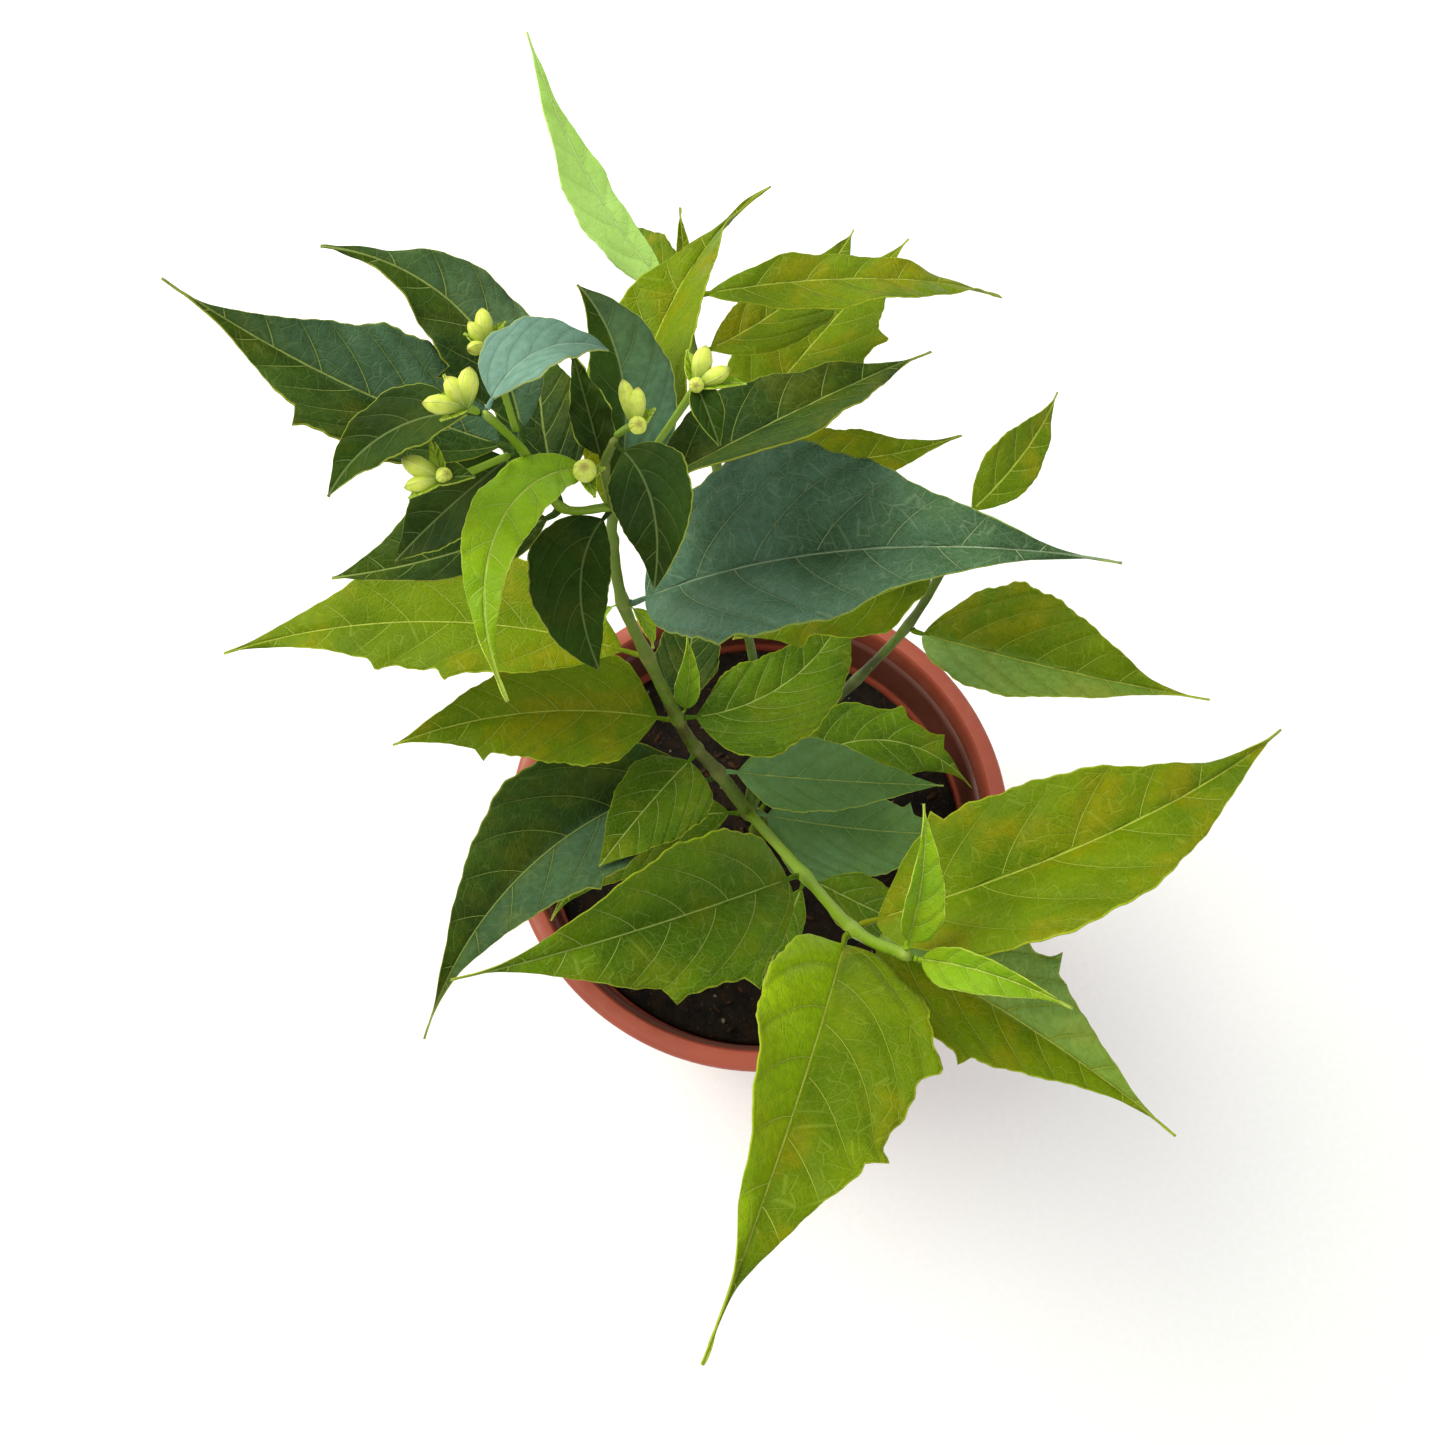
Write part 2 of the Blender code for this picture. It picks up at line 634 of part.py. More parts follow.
def add_cluster(name, paint):
    """Stalk, buds and bracts of one flower cluster, joined into a single body."""
    spec = CLUSTERS[name]
    path = smooth_path([Vector(point) for point in spec["stalk"]], 2)
    points, faces = tube(path, [0.8] * (len(path) - 1) + [1.0], 6)
    body = add_object(name, points, faces, paint)
    end = path[-1]
    helpers = []
    for length, radius, aim, rise in spec["buds"]:
        base = end - direction(aim, rise) * 0.6
        helpers.append(bud_skin(base, aim, rise, length, radius))
    for length, half, aim, rise in spec["bracts"]:
        base = end - direction(aim, rise) * 0.5 - Vector((0, 0, 0.3))
        helpers.append(bract_skin(base, aim, rise, length, half))
    for index, (helper_points, helper_faces) in enumerate(helpers):
        helper = add_object(f"{name}_piece_{index}", helper_points, helper_faces, paint)
        helper.hide_render = True
        helper.display_type = "WIRE"
        join = body.modifiers.new(f"join_{index}", "BOOLEAN")
        join.operation = "UNION"
        join.solver = "EXACT"
        join.object = helper
    return body


def leaf_colour(name):
    """Older leaves are deep green, young ones yellow-green."""
    if name.startswith(("leaf_left", "leaf_broad")) or name in DARK_CROWN:
        return DEEP_GREEN
    if name.startswith(("leaf_front", "leaf_right", "leaf_back", "leaf_arched")) or name in YOUNG_CROWN:
        return FRESH_GREEN
    return MID_GREEN


DARK_CROWN = ("leaf_crown_1", "leaf_crown_2", "leaf_crown_4", "leaf_crown_6")
YOUNG_CROWN = ("leaf_crown_3", "leaf_crown_7", "leaf_mid_2")
DEEP_GREEN = (0.03, 0.085, 0.03)
MID_GREEN = (0.07, 0.16, 0.01)
FRESH_GREEN = (0.15, 0.27, 0.01)


def main():
    clear_scene()
    add_pot()
    add_soil()
    bark = material("woody_stem", (0.16, 0.13, 0.05), 0.7)
    green_bark = material("green_stem", (0.16, 0.26, 0.05), 0.55)
    for name in STEMS:
        add_stem(name, bark if name == "stem_main" else green_bark)
    for name in LEAVES:
        add_leaf(name, material(f"{name}_green", leaf_colour(name), 0.45))
    calyx = material("pale_calyx", (0.42, 0.5, 0.08), 0.5)
    for name in CLUSTERS:
        add_cluster(name, calyx)


main()
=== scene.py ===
"""Looks of the potted coral jasmine: leaves, stems, flower buds, nursery pot and potting soil."""

import math

import bpy
import numpy as np
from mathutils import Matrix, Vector


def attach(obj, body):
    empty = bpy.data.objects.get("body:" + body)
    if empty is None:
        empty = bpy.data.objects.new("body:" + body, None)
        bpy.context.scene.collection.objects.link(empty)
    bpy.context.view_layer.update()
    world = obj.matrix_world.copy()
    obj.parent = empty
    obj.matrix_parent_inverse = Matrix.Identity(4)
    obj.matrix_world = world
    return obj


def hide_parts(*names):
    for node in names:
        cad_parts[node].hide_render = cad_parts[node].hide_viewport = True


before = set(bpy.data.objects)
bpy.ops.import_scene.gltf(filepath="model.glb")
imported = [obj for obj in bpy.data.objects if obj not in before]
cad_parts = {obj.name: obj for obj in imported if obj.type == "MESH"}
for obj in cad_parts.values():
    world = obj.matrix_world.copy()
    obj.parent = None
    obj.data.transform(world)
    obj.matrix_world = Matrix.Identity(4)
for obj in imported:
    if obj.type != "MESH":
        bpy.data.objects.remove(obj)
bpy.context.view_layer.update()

MM = 0.001

# Pot and soil, in millimetres.
POT_HEIGHT = 175
RIM_RADIUS = 100
COLLAR_HEIGHT = 30
FLOOR_TOP = 5
WALL_FOOT_RADIUS = 65.8
WALL_FOOT_RISE = 2.2
WALL_TOP_RADIUS = 86.9
SOIL_TOP = POT_HEIGHT - 32
DRAIN_RADIUS = 5
DRAIN_RING = 43
DRAIN_COUNT = 6
DRAIN_TURN = 4

# Nodes where leaves and branches leave the stems, in millimetres from the middle of the pot's foot.
NODES = {
    "foot": (0, 0, 105),
    "soil": (1, 0, 150),
    "base": (-1, -3, 180),
    "fork": (-5, -8, 203),
    "under": (-16, -1, 228),
    "low": (-24, 4, 240),
    "mid": (-30, 7, 262),
    "bend": (-38, 11, 305),
    "high": (-43, 12, 340),
    "throat": (-43, 11, 378),
    "neck": (-41, 8, 400),
    "crown": (-41, 5, 422),
    "tip": (-38, 5, 433),
    "front_1": (12, -48, 263),
    "front_2": (21, -79, 326),
    "front_3": (31, -91, 353),
    "right_0": (10, 12, 222),
    "right_1": (33, 27, 249),
    "right_2": (46, 30, 287),
    "right_3": (52, 32, 325),
    "right_4": (52, 31, 354),
    "back_0": (-2, 20, 245),
    "back_1": (-11, 44, 300),
    "back_mid": (-17, 64, 334),
    "back_2": (-23, 80, 362),
    "back_3": (-25, 86, 380),
    "left_1": (-52, 2, 410),
    "left_2": (-57, 0, 437),
    "left_3": (-60, -8, 462),
}

MAIN_NODES = (
    "foot", "soil", "base", "fork", "under", "low", "mid", "bend", "high", "throat", "neck", "crown", "tip",
)

# Each stem: the nodes it runs through and its radius at the start and at the end.
STEMS = {
    "stem_main": (MAIN_NODES, 3.3, 0.9),
    "stem_front": (("fork", "front_1", "front_2", "front_3"), 2.0, 1.5),
    "stem_right": (("fork", "right_0", "right_1", "right_2", "right_3", "right_4"), 1.9, 1.3),
    "stem_back": (("fork", "back_0", "back_1", "back_mid", "back_2", "back_3"), 1.8, 1.2),
    "stem_left": (("neck", "left_1", "left_2", "left_3"), 1.1, 0.8),
}

# Gap between a stem and the petiole beside it, in millimetres.
GAP = 0.3

# A leaf's petiole: its length as a share of the leaf's, and the radius allowed for it beside the stem.
PETIOLE = 0.06
PETIOLE_RADIUS = 0.9

# Leaf kinds: breadth is the blade's full width as a share of the leaf's length, widest is the place of that
# width, foot is how straight the edges run out from the stalk, taper is how hollow they are towards the tip,
# and fold is how far each half lifts, in degrees.
LEAF_KINDS = {
    "drawn_out": {"breadth": 0.40, "widest": 0.34, "foot": 0.75, "taper": 2.3, "fold": 25},
    "tapered": {"breadth": 0.46, "widest": 0.26, "foot": 0.95, "taper": 1.4, "fold": 20},
    "slender": {"breadth": 0.32, "widest": 0.36, "foot": 0.8, "taper": 1.7, "fold": 12},
    "rounded": {"breadth": 0.60, "widest": 0.36, "foot": 0.85, "taper": 1.1, "fold": 16},
    "folded": {"breadth": 0.28, "widest": 0.30, "foot": 0.8, "taper": 1.6, "fold": 34},
}

# A tooth's height in millimetres, and how far it runs back and forward along the blade, as shares of it.
TOOTH = 4.8
TOOTH_BACK = 0.08
TOOTH_FRONT = 0.022


def leaf(node, kind, length, aim, rise, sweep=0, droop=20, broad=1.0, lean=0.0, roll=0, twist=0, teeth=()):
    """One leaf: where it leaves the stem, its kind and length, and how it is aimed, arched and turned."""
    half = LEAF_KINDS[kind]["breadth"] * length * broad / 2
    return {
        "node": node,
        "length": length,
        "aim": aim,
        "sweep": sweep,
        "rise": rise,
        "droop": droop,
        "left": half * (1 + lean),
        "right": half * (1 - lean),
        "widest": LEAF_KINDS[kind]["widest"],
        "foot": LEAF_KINDS[kind]["foot"],
        "taper": LEAF_KINDS[kind]["taper"],
        "fold": LEAF_KINDS[kind]["fold"],
        "roll": roll,
        "twist": twist,
        "teeth": teeth,
    }


# Length in millimetres and angles in degrees. Aim turns from +X to +Y, and rise is the slope where the leaf
# starts. Sweep is how far the aim turns and droop how far the slope falls by the tip. Lean makes the left
# half wider. A tooth is (side, place along the blade), and side 1 is left.
LEAVES = {
    "leaf_left_1": leaf(
        "left_2", "drawn_out", 75, 170, 15, sweep=-15, droop=-15, broad=1.1, lean=0.1,
        teeth=((1, 0.52),),
    ),
    "leaf_left_2": leaf("left_2", "slender", 60, 95, 30, sweep=95, droop=10, broad=1.1, teeth=((1, 0.3),)),
    "leaf_left_3": leaf("left_3", "rounded", 30, 65, 20, sweep=-60, droop=60, roll=-15),
    "leaf_left_4": leaf("left_3", "rounded", 35, 175, 0, sweep=60, droop=30, broad=0.7),
    "leaf_left_5": leaf("left_1", "tapered", 55, 215, 10, sweep=-40, droop=30, lean=-0.3),
    "leaf_left_6": leaf("left_1", "rounded", 42, 108, 20, sweep=-20, droop=35, broad=0.9),
    "leaf_left_7": leaf("left_2", "rounded", 38, 204, -28, sweep=5, droop=10, broad=0.9),
    "leaf_arched": leaf("crown", "slender", 75, 215, 55, sweep=80, droop=90, broad=0.6, roll=-5, twist=10),
    "leaf_crown_1": leaf("neck", "rounded", 55, 70, 40, sweep=60, droop=40, broad=0.65, lean=-0.2),
    "leaf_crown_2": leaf(
        "tip", "rounded", 35, -50, 20, sweep=-55, droop=70, broad=0.9,
        lean=0.1, roll=10, twist=20,
    ),
    "leaf_crown_3": leaf("crown", "folded", 25, 108, 50, broad=1.6),
    "leaf_crown_4": leaf("neck", "rounded", 42, 238, 15, sweep=65, droop=80, broad=0.8, lean=-0.3, roll=-10),
    "leaf_crown_6": leaf(
        "neck", "drawn_out", 95, 25, 15, sweep=15, droop=40, broad=0.9,
        lean=-0.2, roll=-35, twist=35,
    ),
    "leaf_crown_7": leaf(
        "throat", "drawn_out", 110, 84, 35, sweep=-34, droop=50,
        broad=0.8, lean=-0.2, roll=-15, twist=-20,
    ),
    "leaf_broad": leaf(
        "high", "drawn_out", 138, -2, 45, sweep=-15, droop=35, broad=1.05, lean=0.02, twist=10,
        teeth=((1, 0.4), (-1, 0.3)),
    ),
    "leaf_back_1": leaf(
        "back_3", "slender", 75, 150, 35, sweep=-35, droop=-20,
        broad=0.7, lean=0.4, twist=30,
    ),
    "leaf_back_2": leaf("back_3", "slender", 55, 130, -15, sweep=-15, droop=5, broad=0.9, lean=-0.3),
    "leaf_back_3": leaf("back_3", "folded", 22, 95, 45, broad=0.8),
    "leaf_back_4": leaf(
        "back_3", "slender", 100, 5, 10, sweep=15, droop=50, broad=0.7,
        lean=-0.2, twist=-20,
    ),
    "leaf_back_5": leaf("back_2", "slender", 70, 25, 5, sweep=45, droop=20, broad=1.1, lean=-0.2),
    "leaf_back_6": leaf("back_mid", "slender", 110, 55, 0, droop=10, broad=1.1, teeth=((-1, 0.55),)),
    "leaf_back_7": leaf("back_mid", "slender", 75, -10, 0, sweep=35, droop=5, broad=0.9),
    "leaf_right_2": leaf(
        "right_4", "slender", 50, 42, 5, sweep=25, droop=10, broad=1.0,
        lean=0.1, roll=10, twist=30,
    ),
    "leaf_right_3": leaf("right_2", "drawn_out", 95, -35, 30, sweep=20, droop=20, broad=1.1, lean=0.1),
    "leaf_right_4": leaf("right_3", "slender", 70, 215, 15, sweep=-45, droop=60, broad=1.0),
    "leaf_right_5": leaf("right_4", "slender", 55, 165, -5, droop=15),
    "leaf_mid_1": leaf(
        "mid", "tapered", 75, 0, 10, sweep=75, droop=10, broad=1.1,
        lean=-0.3, roll=-5, twist=10,
    ),
    "leaf_mid_2": leaf("mid", "folded", 30, 70, 60, sweep=30, droop=10, broad=1.2),
    "leaf_mid_3": leaf(
        "bend", "slender", 130, 165, 10, sweep=30, droop=20, lean=-0.1, roll=5, twist=-10,
        teeth=((1, 0.42), (1, 0.6)),
    ),
    "leaf_mid_4": leaf("mid", "tapered", 92, 178, 25, sweep=25, droop=25, twist=-25, teeth=((1, 0.7),)),
    "leaf_mid_5": leaf("high", "folded", 15, 200, -25, sweep=60, droop=60, broad=1.5),
    "leaf_mid_6": leaf("high", "folded", 15, -30, -20, sweep=-60, droop=50, broad=1.2),
    "leaf_low_1": leaf(
        "under", "drawn_out", 140, 195, 20, sweep=60, droop=30, roll=15, twist=-20,
        teeth=((1, 0.44), (-1, 0.2)),
    ),
    "leaf_low_2": leaf("low", "rounded", 55, 235, 30, droop=30, lean=0.2),
    "leaf_low_3": leaf("fork", "slender", 85, 180, 10, sweep=60, droop=30, broad=1.1, lean=0.2),
    "leaf_low_4": leaf(
        "fork", "tapered", 80, -15, 10, sweep=20, droop=25, broad=1.1, lean=-0.2, roll=5, twist=5,
        teeth=((1, 0.55), (1, 0.7)),
    ),
    "leaf_low_5": leaf(
        "base", "slender", 105, 60, 10, sweep=-105, droop=40, broad=1.2, lean=-0.2,
        teeth=((1, 0.62), (1, 0.78)),
    ),
    "leaf_low_6": leaf("mid", "rounded", 48, 82, -5, droop=15, broad=0.8),
    "leaf_low_7": leaf("under", "tapered", 78, -8, 5, sweep=10, droop=15, broad=0.85),
    "leaf_front_1": leaf(
        "front_1", "drawn_out", 120, 213, 45, sweep=-20, droop=45, roll=-15, twist=-15,
        teeth=((1, 0.5), (1, 0.3)),
    ),
    "leaf_front_2": leaf(
        "front_2", "drawn_out", 135, 5, 50, sweep=35, droop=80, broad=0.85, lean=-0.1, roll=-20, twist=20,
        teeth=((1, 0.2),),
    ),
    "leaf_front_3": leaf(
        "front_2", "drawn_out", 92, -30, 15, sweep=-10, droop=20,
        teeth=((1, 0.48), (-1, 0.4)),
    ),
    "leaf_front_4": leaf(
        "front_2", "drawn_out", 122, -108, 50, sweep=-5, droop=45, broad=0.95, lean=0.15, twist=-35,
        teeth=((1, 0.35), (1, 0.55)),
    ),
    "leaf_front_5": leaf("front_3", "folded", 40, 75, 65, sweep=20, droop=40, lean=-0.3),
    "leaf_front_6": leaf(
        "front_3", "folded", 42, -20, 55, sweep=-10, droop=50,
        lean=-0.2, roll=10, twist=20,
    ),
    "leaf_front_7": leaf("front_1", "rounded", 45, -25, -15, sweep=15, droop=30, broad=0.8, lean=-0.1),
    "leaf_front_8": leaf("front_1", "slender", 42, 245, -40, droop=10, broad=0.9),
}

# Flower clusters: the path of the stalk, then buds as (length, radius, aim, rise)
# and bracts as (length, half width, aim, rise), in millimetres and degrees.
CLUSTERS = {
    "buds_left_upper": {
        "stalk": ((-58, 2.8, 440), (-60, 8, 449), (-62, 12, 456)),
        "buds": ((8.5, 1.8, 98, 20), (6.5, 1.4, 135, 35), (6, 1.4, 225, 35)),
        "bracts": ((7, 1.6, 55, 25), (6, 1.5, 150, 20)),
    },
    "buds_left_middle": {
        "stalk": ((-61, -9.6, 465), (-62, -12, 470)),
        "buds": ((8, 1.9, 75, 45), (8.5, 1.8, 185, 15), (7, 1.8, 130, 45)),
        "bracts": ((8, 1.8, 125, 25), (6, 1.6, 215, 15), (7, 2, 150, 5)),
    },
    "buds_left_lower": {
        "stalk": ((-59.5, -3, 439.5), (-66, -14, 450), (-69, -18, 455)),
        "buds": ((9, 2.0, 160, 20), (8, 1.6, 200, 5), (4, 1.6, 340, 60)),
        "bracts": ((9, 1.6, 105, 35), (8, 1.7, 215, 10), (8, 3, -8, 30)),
    },
    "buds_centre": {
        "stalk": ((-37.2, 4.4, 436), (-34, 1, 444), (-32, -3, 450)),
        "buds": ((10.5, 1.7, 108, 25), (8.5, 1.7, 85, 40), (4, 1.8, -60, 65)),
        "bracts": ((9, 1.7, 100, 10), (6, 1.7, 40, 35)),
    },
    "bud_round": {
        "stalk": ((-42.5, 2.6, 425), (-44, -3, 432), (-43, -7, 438)),
        "buds": ((6, 2.4, 260, 80),),
        "bracts": ((6, 1.8, 290, 15), (5, 1.6, 20, 30)),
    },
    "buds_right": {
        "stalk": ((-38.5, 9.6, 404), (-27, 11, 428), (-20, 12, 443)),
        "buds": ((9, 2.1, 75, 30), (8.5, 1.8, 15, 25), (4, 1.6, 262, 55)),
        "bracts": ((9, 2.1, 105, 20), (11, 2.1, 0, 15), (14, 4, 292, -12)),
    },
}

# A bud's outline: places along it, and its radius there as a share of its widest.
BUD_PLACES = (0, 0.06, 0.2, 0.45, 0.68, 0.85, 0.95, 1)
BUD_SWELL = (0, 0.42, 0.66, 0.95, 1.0, 0.74, 0.34, 0)

# Half width in millimetres from which a bract is a small grown leaf.
LEAFY_BRACT = 3

# How steeply and how bent the side veins run to the margin, and a blade's thickness in millimetres.
VEIN_SLOPE = 0.7
VEIN_BEND = 4.2
BLADE_THICKNESS = 0.34

# Leaves longer than this carry more side veins, a finer mesh and a stronger swelling between the veins.
LONG_LEAF = 60
PAIRS_LONG = 7
PAIRS_SHORT = 5
GRID_LONG = (96, 36)
GRID_SHORT = (56, 24)
SWELL_LONG = 0.0045
SWELL_SHORT = 0.002

# Leaves whose margins are wavier than usual, with the height of the wave as a share of the leaf's length.
WAVY = {
    "leaf_right_4": 0.07, "leaf_left_2": 0.02, "leaf_front_4": 0.016, "leaf_broad": 0.014,
    "leaf_low_4": 0.02, "leaf_crown_3": 0.08, "leaf_left_3": 0.012, "leaf_mid_5": 0.06,
}
PLAIN_WAVE = 0.010

# Leaves with painted light on one half, painted lighter for the light and sheen it catches. A plus is the
# left half and a minus the right, and the number is how strong the pale colour is.
PAINTED_LIGHT_HALF = {
    "leaf_front_4": -1.4, "leaf_front_3": 1.3, "leaf_right_3": -1, "leaf_low_1": 1, "leaf_left_1": -1,
    "leaf_left_2": -1, "leaf_crown_1": -1,
}


def direction(aim, rise):
    """Unit vector that points along a compass aim and a rise above the horizontal."""
    aim = math.radians(aim)
    rise = math.radians(rise)
    return Vector((math.cos(rise) * math.cos(aim), math.cos(rise) * math.sin(aim), math.sin(rise)))


def smooth_path(points, steps):
    """Catmull-Rom curve through the points."""
    points = [Vector(point) for point in points]
    padded = [points[0] * 2 - points[1]] + points + [points[-1] * 2 - points[-2]]
    path = []
    for index in range(1, len(padded) - 2):
        before, here, ahead, beyond = padded[index - 1:index + 3]
        for step in range(steps):
            t = step / steps
            path.append(0.5 * (
                2 * here
                + (ahead - before) * t
                + (2 * before - 5 * here + 4 * ahead - beyond) * t * t
                + (3 * here - before - 3 * ahead + beyond) * t ** 3
            ))
    path.append(points[-1].copy())
    return path


def node_radius(node):
    """Stem radius at a node, from the stem that runs through it."""
    for nodes, start, end in STEMS.values():
        if node in nodes[1:]:
            return start + (end - start) * nodes.index(node) / (len(nodes) - 1)
    return 2.0


def node_direction(node):
    """Direction of the stem that runs through a node."""
    for nodes, _, _ in STEMS.values():
        if node in nodes[1:]:
            index = nodes.index(node)
            behind = Vector(NODES[nodes[index - 1]])
            ahead = Vector(NODES[nodes[min(index + 1, len(nodes) - 1)]])
            return (ahead - behind).normalized()
    return Vector((0, 0, 1))


def leaf_start(spec):
    """Point beside the stem where the petiole starts."""
    node = Vector(NODES[spec["node"]])
    along = node_direction(spec["node"])
    reach = direction(spec["aim"], spec["rise"])
    away = reach - along * reach.dot(along)
    if away.length < 0.3:
        away = direction(spec["aim"], 0)
        away = away - along * away.dot(along)
    return node + away.normalized() * (node_radius(spec["node"]) * 1.15 + PETIOLE_RADIUS + GAP)


def blade_frames(start, spec, shares):
    """Centre line of a leaf and its sideways and upward directions at each share of its length."""
    fine = 240
    steps = np.linspace(0, 1, fine + 1)
    aim = np.radians(spec["aim"] + spec["sweep"] * steps)
    rise = np.radians(spec["rise"] - spec["droop"] * steps)
    roll = np.radians(spec["roll"] + spec["twist"] * steps)[:, None]
    forward = np.stack([np.cos(rise) * np.cos(aim), np.cos(rise) * np.sin(aim), np.sin(rise)], 1)
    side = np.stack([-np.sin(aim), np.cos(aim), np.zeros(fine + 1)], 1)
    upward = np.cross(forward, side)
    turned_side = side * np.cos(roll) + upward * np.sin(roll)
    turned_up = upward * np.cos(roll) - side * np.sin(roll)
    line = np.vstack([[0, 0, 0], np.cumsum(forward[:-1], 0)]) * spec["length"] / fine + np.array(start)
    found = []
    for values in (line, turned_side, turned_up):
        found.append(np.stack([np.interp(shares, steps, values[:, axis]) for axis in range(3)], 1))
    return found


def half_widths(spec, share, place):
    """Half width of the blade for each signed share across (left is positive) and place along."""
    full = np.where(share > 0, spec["left"], spec["right"])
    widest = spec["widest"]
    low = np.sin(np.pi / 2 * np.clip(place / widest, 0, 1) ** spec["foot"])
    high = np.clip(np.cos(np.pi / 2 * np.clip((place - widest) / (1 - widest), 0, 1)), 0, 1) ** spec["taper"]
    width = full * np.where(place < widest, low, high)
    for side, tooth in spec["teeth"]:
        offset = place - tooth
        back = np.where((offset > -TOOTH_BACK) & (offset <= 0), (1 + offset / TOOTH_BACK) ** 2.6, 0)
        front = np.where((offset > 0) & (offset < TOOTH_FRONT), (1 - offset / TOOTH_FRONT) ** 1.3, 0)
        width = width + np.where(share * side > 0, TOOTH * (back + front), 0)
    return width


def deselect_all():
    """Clears the selection, so that the next operator acts on its own piece only."""
    for other in list(bpy.context.selected_objects):
        other.select_set(False)


def make_active(made):
    """Selects one object alone and makes it active."""
    deselect_all()
    made.select_set(True)
    bpy.context.view_layer.objects.active = made


def apply_modifiers(made):
    """Applies every modifier of a piece, in order."""
    make_active(made)
    for modifier in list(made.modifiers):
        bpy.ops.object.modifier_apply(modifier=modifier.name)


def read_points(made):
    """Places of a mesh's points, one row each, in metres."""
    points = np.zeros(len(made.data.vertices) * 3)
    made.data.vertices.foreach_get("co", points)
    return points.reshape(-1, 3)


def write_points(made, points):
    """Moves a mesh's points to the given places, in metres."""
    made.data.vertices.foreach_set("co", points.astype(np.float32).ravel())
    made.data.update()


def add_vectors(made, name, values):
    """Stores one vector a point, for the materials to read."""
    field = made.data.attributes.new(name, "FLOAT_VECTOR", "POINT")
    field.data.foreach_set("vector", values.astype(np.float32).ravel())


def smooth(made):
    """Shades the whole piece smooth."""
    for face in made.data.polygons:
        face.use_smooth = True


def close_up(made, merge=0.0):
    """Merges the points of a closed mesh that meet, if asked, and turns every face outwards."""
    make_active(made)
    bpy.ops.object.mode_set(mode="EDIT")
    bpy.ops.mesh.select_all(action="SELECT")
    if merge:
        bpy.ops.mesh.remove_doubles(threshold=merge)
    bpy.ops.mesh.normals_make_consistent(inside=False)
    bpy.ops.object.mode_set(mode="OBJECT")


def blade(name, start, spec, rows, columns, first, wave, seed, pairs, painted_light=0):
    """A leaf blade: a grid shaped to the leaf's outline, arch, fold and veins, then given its thickness."""
    deselect_all()
    bpy.ops.mesh.primitive_grid_add(x_subdivisions=columns, y_subdivisions=rows, size=2)
    made = bpy.context.object
    made.name = name
    flat = read_points(made)
    share = -flat[:, 0]
    share = np.sign(share) * np.abs(share) ** 1.15
    place = np.clip((flat[:, 1] + 1) / 2, 0.0, 1.0)
    length = spec["length"] * (1 - first)
    width = half_widths(spec, share, place)
    scallop = np.sin(2 * np.pi * (pairs * place + 0.31 * seed) + np.where(share > 0, 0, 1.7))
    width *= 1 + 0.022 * scallop + 0.012 * np.sin(2 * np.pi * (3.1 * pairs * place + 0.53 * seed))
    width = np.maximum(width, 0.25)
    centre, side, upward = blade_frames(start, spec, first + (1 - first) * place)
    across = share * width
    reach = np.abs(across) / length
    phase = (place - VEIN_SLOPE * reach - VEIN_BEND * reach ** 2) * pairs + np.where(share > 0, 0.0, 0.3)
    tilt = math.radians(spec["fold"])
    fade = np.sin(np.pi * np.clip(place, 0, 1)) ** 0.5
    edge = np.abs(share)
    lift = np.abs(across) * math.sin(tilt) * (1.18 - 0.18 * edge)
    between = np.abs(np.sin(np.pi * phase)) ** 0.8
    swell = SWELL_LONG if spec["length"] > LONG_LEAF else SWELL_SHORT
    lift += swell * length * between * np.clip(edge * 5, 0, 1) * (1 - edge ** 2) * fade
    ripple = np.sin(2 * np.pi * (2.6 * place + 0.37 * seed) + np.where(share > 0, 0, 2.1))
    ripple += 0.5 * np.sin(2 * np.pi * (5.3 * place + 0.71 * seed) + np.where(share > 0, 1.3, 0))
    lift += wave * spec["length"] * ripple * edge ** 2.5 * fade
    points = centre + side * (across * math.cos(tilt))[:, None] + upward * lift[:, None]
    write_points(made, points * MM)
    spacing = np.full(len(place), length / pairs * MM)
    add_vectors(made, "veins", np.stack([phase, edge, place], 1))
    add_vectors(made, "flat", np.stack([across * MM, place * length * MM, spacing], 1))
    # Painted light: the share of the pale colour on the named half, fading towards the tip.
    half = np.clip(0.5 + share * painted_light * 5, 0, 1) * abs(painted_light) * np.clip(1.2 - 1.1 * place, 0, 1)
    add_vectors(made, "tint", np.stack([half, half, half], 1))
    shell = made.modifiers.new("thickness", "SOLIDIFY")
    shell.thickness = BLADE_THICKNESS * MM
    shell.offset = -1
    shell.material_offset = 1
    shell.material_offset_rim = 1
    apply_modifiers(made)
    smooth(made)
    count = len(place)
    thick = read_points(made)
    rib = np.exp(-(across / 1.0) ** 2) * (1 - place) ** 0.5 * min(0.7, 0.008 * spec["length"])
    rib += 0.16 * np.exp(-(np.abs(np.sin(np.pi * phase)) * 5) ** 2) * (1 - edge)
    thick[count:2 * count] -= upward * rib[:, None] * MM
    write_points(made, thick)
    return made


def rod(name, path, radii, sides=12):
    """A round rod along a path, closed at both ends."""
    drawn = bpy.data.curves.new(name, "CURVE")
    drawn.dimensions = "3D"
    drawn.bevel_depth = MM
    drawn.bevel_resolution = max(1, sides // 4 - 1)
    drawn.use_fill_caps = True
    line = drawn.splines.new("POLY")
    line.points.add(len(path) - 1)
    for point, centre, radius in zip(line.points, path, radii):
        point.co = (*(Vector(centre) * MM), 1)
        point.radius = radius
    made = bpy.data.objects.new(name, drawn)
    bpy.context.scene.collection.objects.link(made)
    make_active(made)
    bpy.ops.object.convert(target="MESH")
    made = bpy.context.object
    close_up(made, merge=0.01 * MM)
    smooth(made)
    return made


def join(made, others):
    """Joins other pieces into one."""
    make_active(made)
    for other in others:
        other.select_set(True)
    bpy.ops.object.join()
    return bpy.context.object


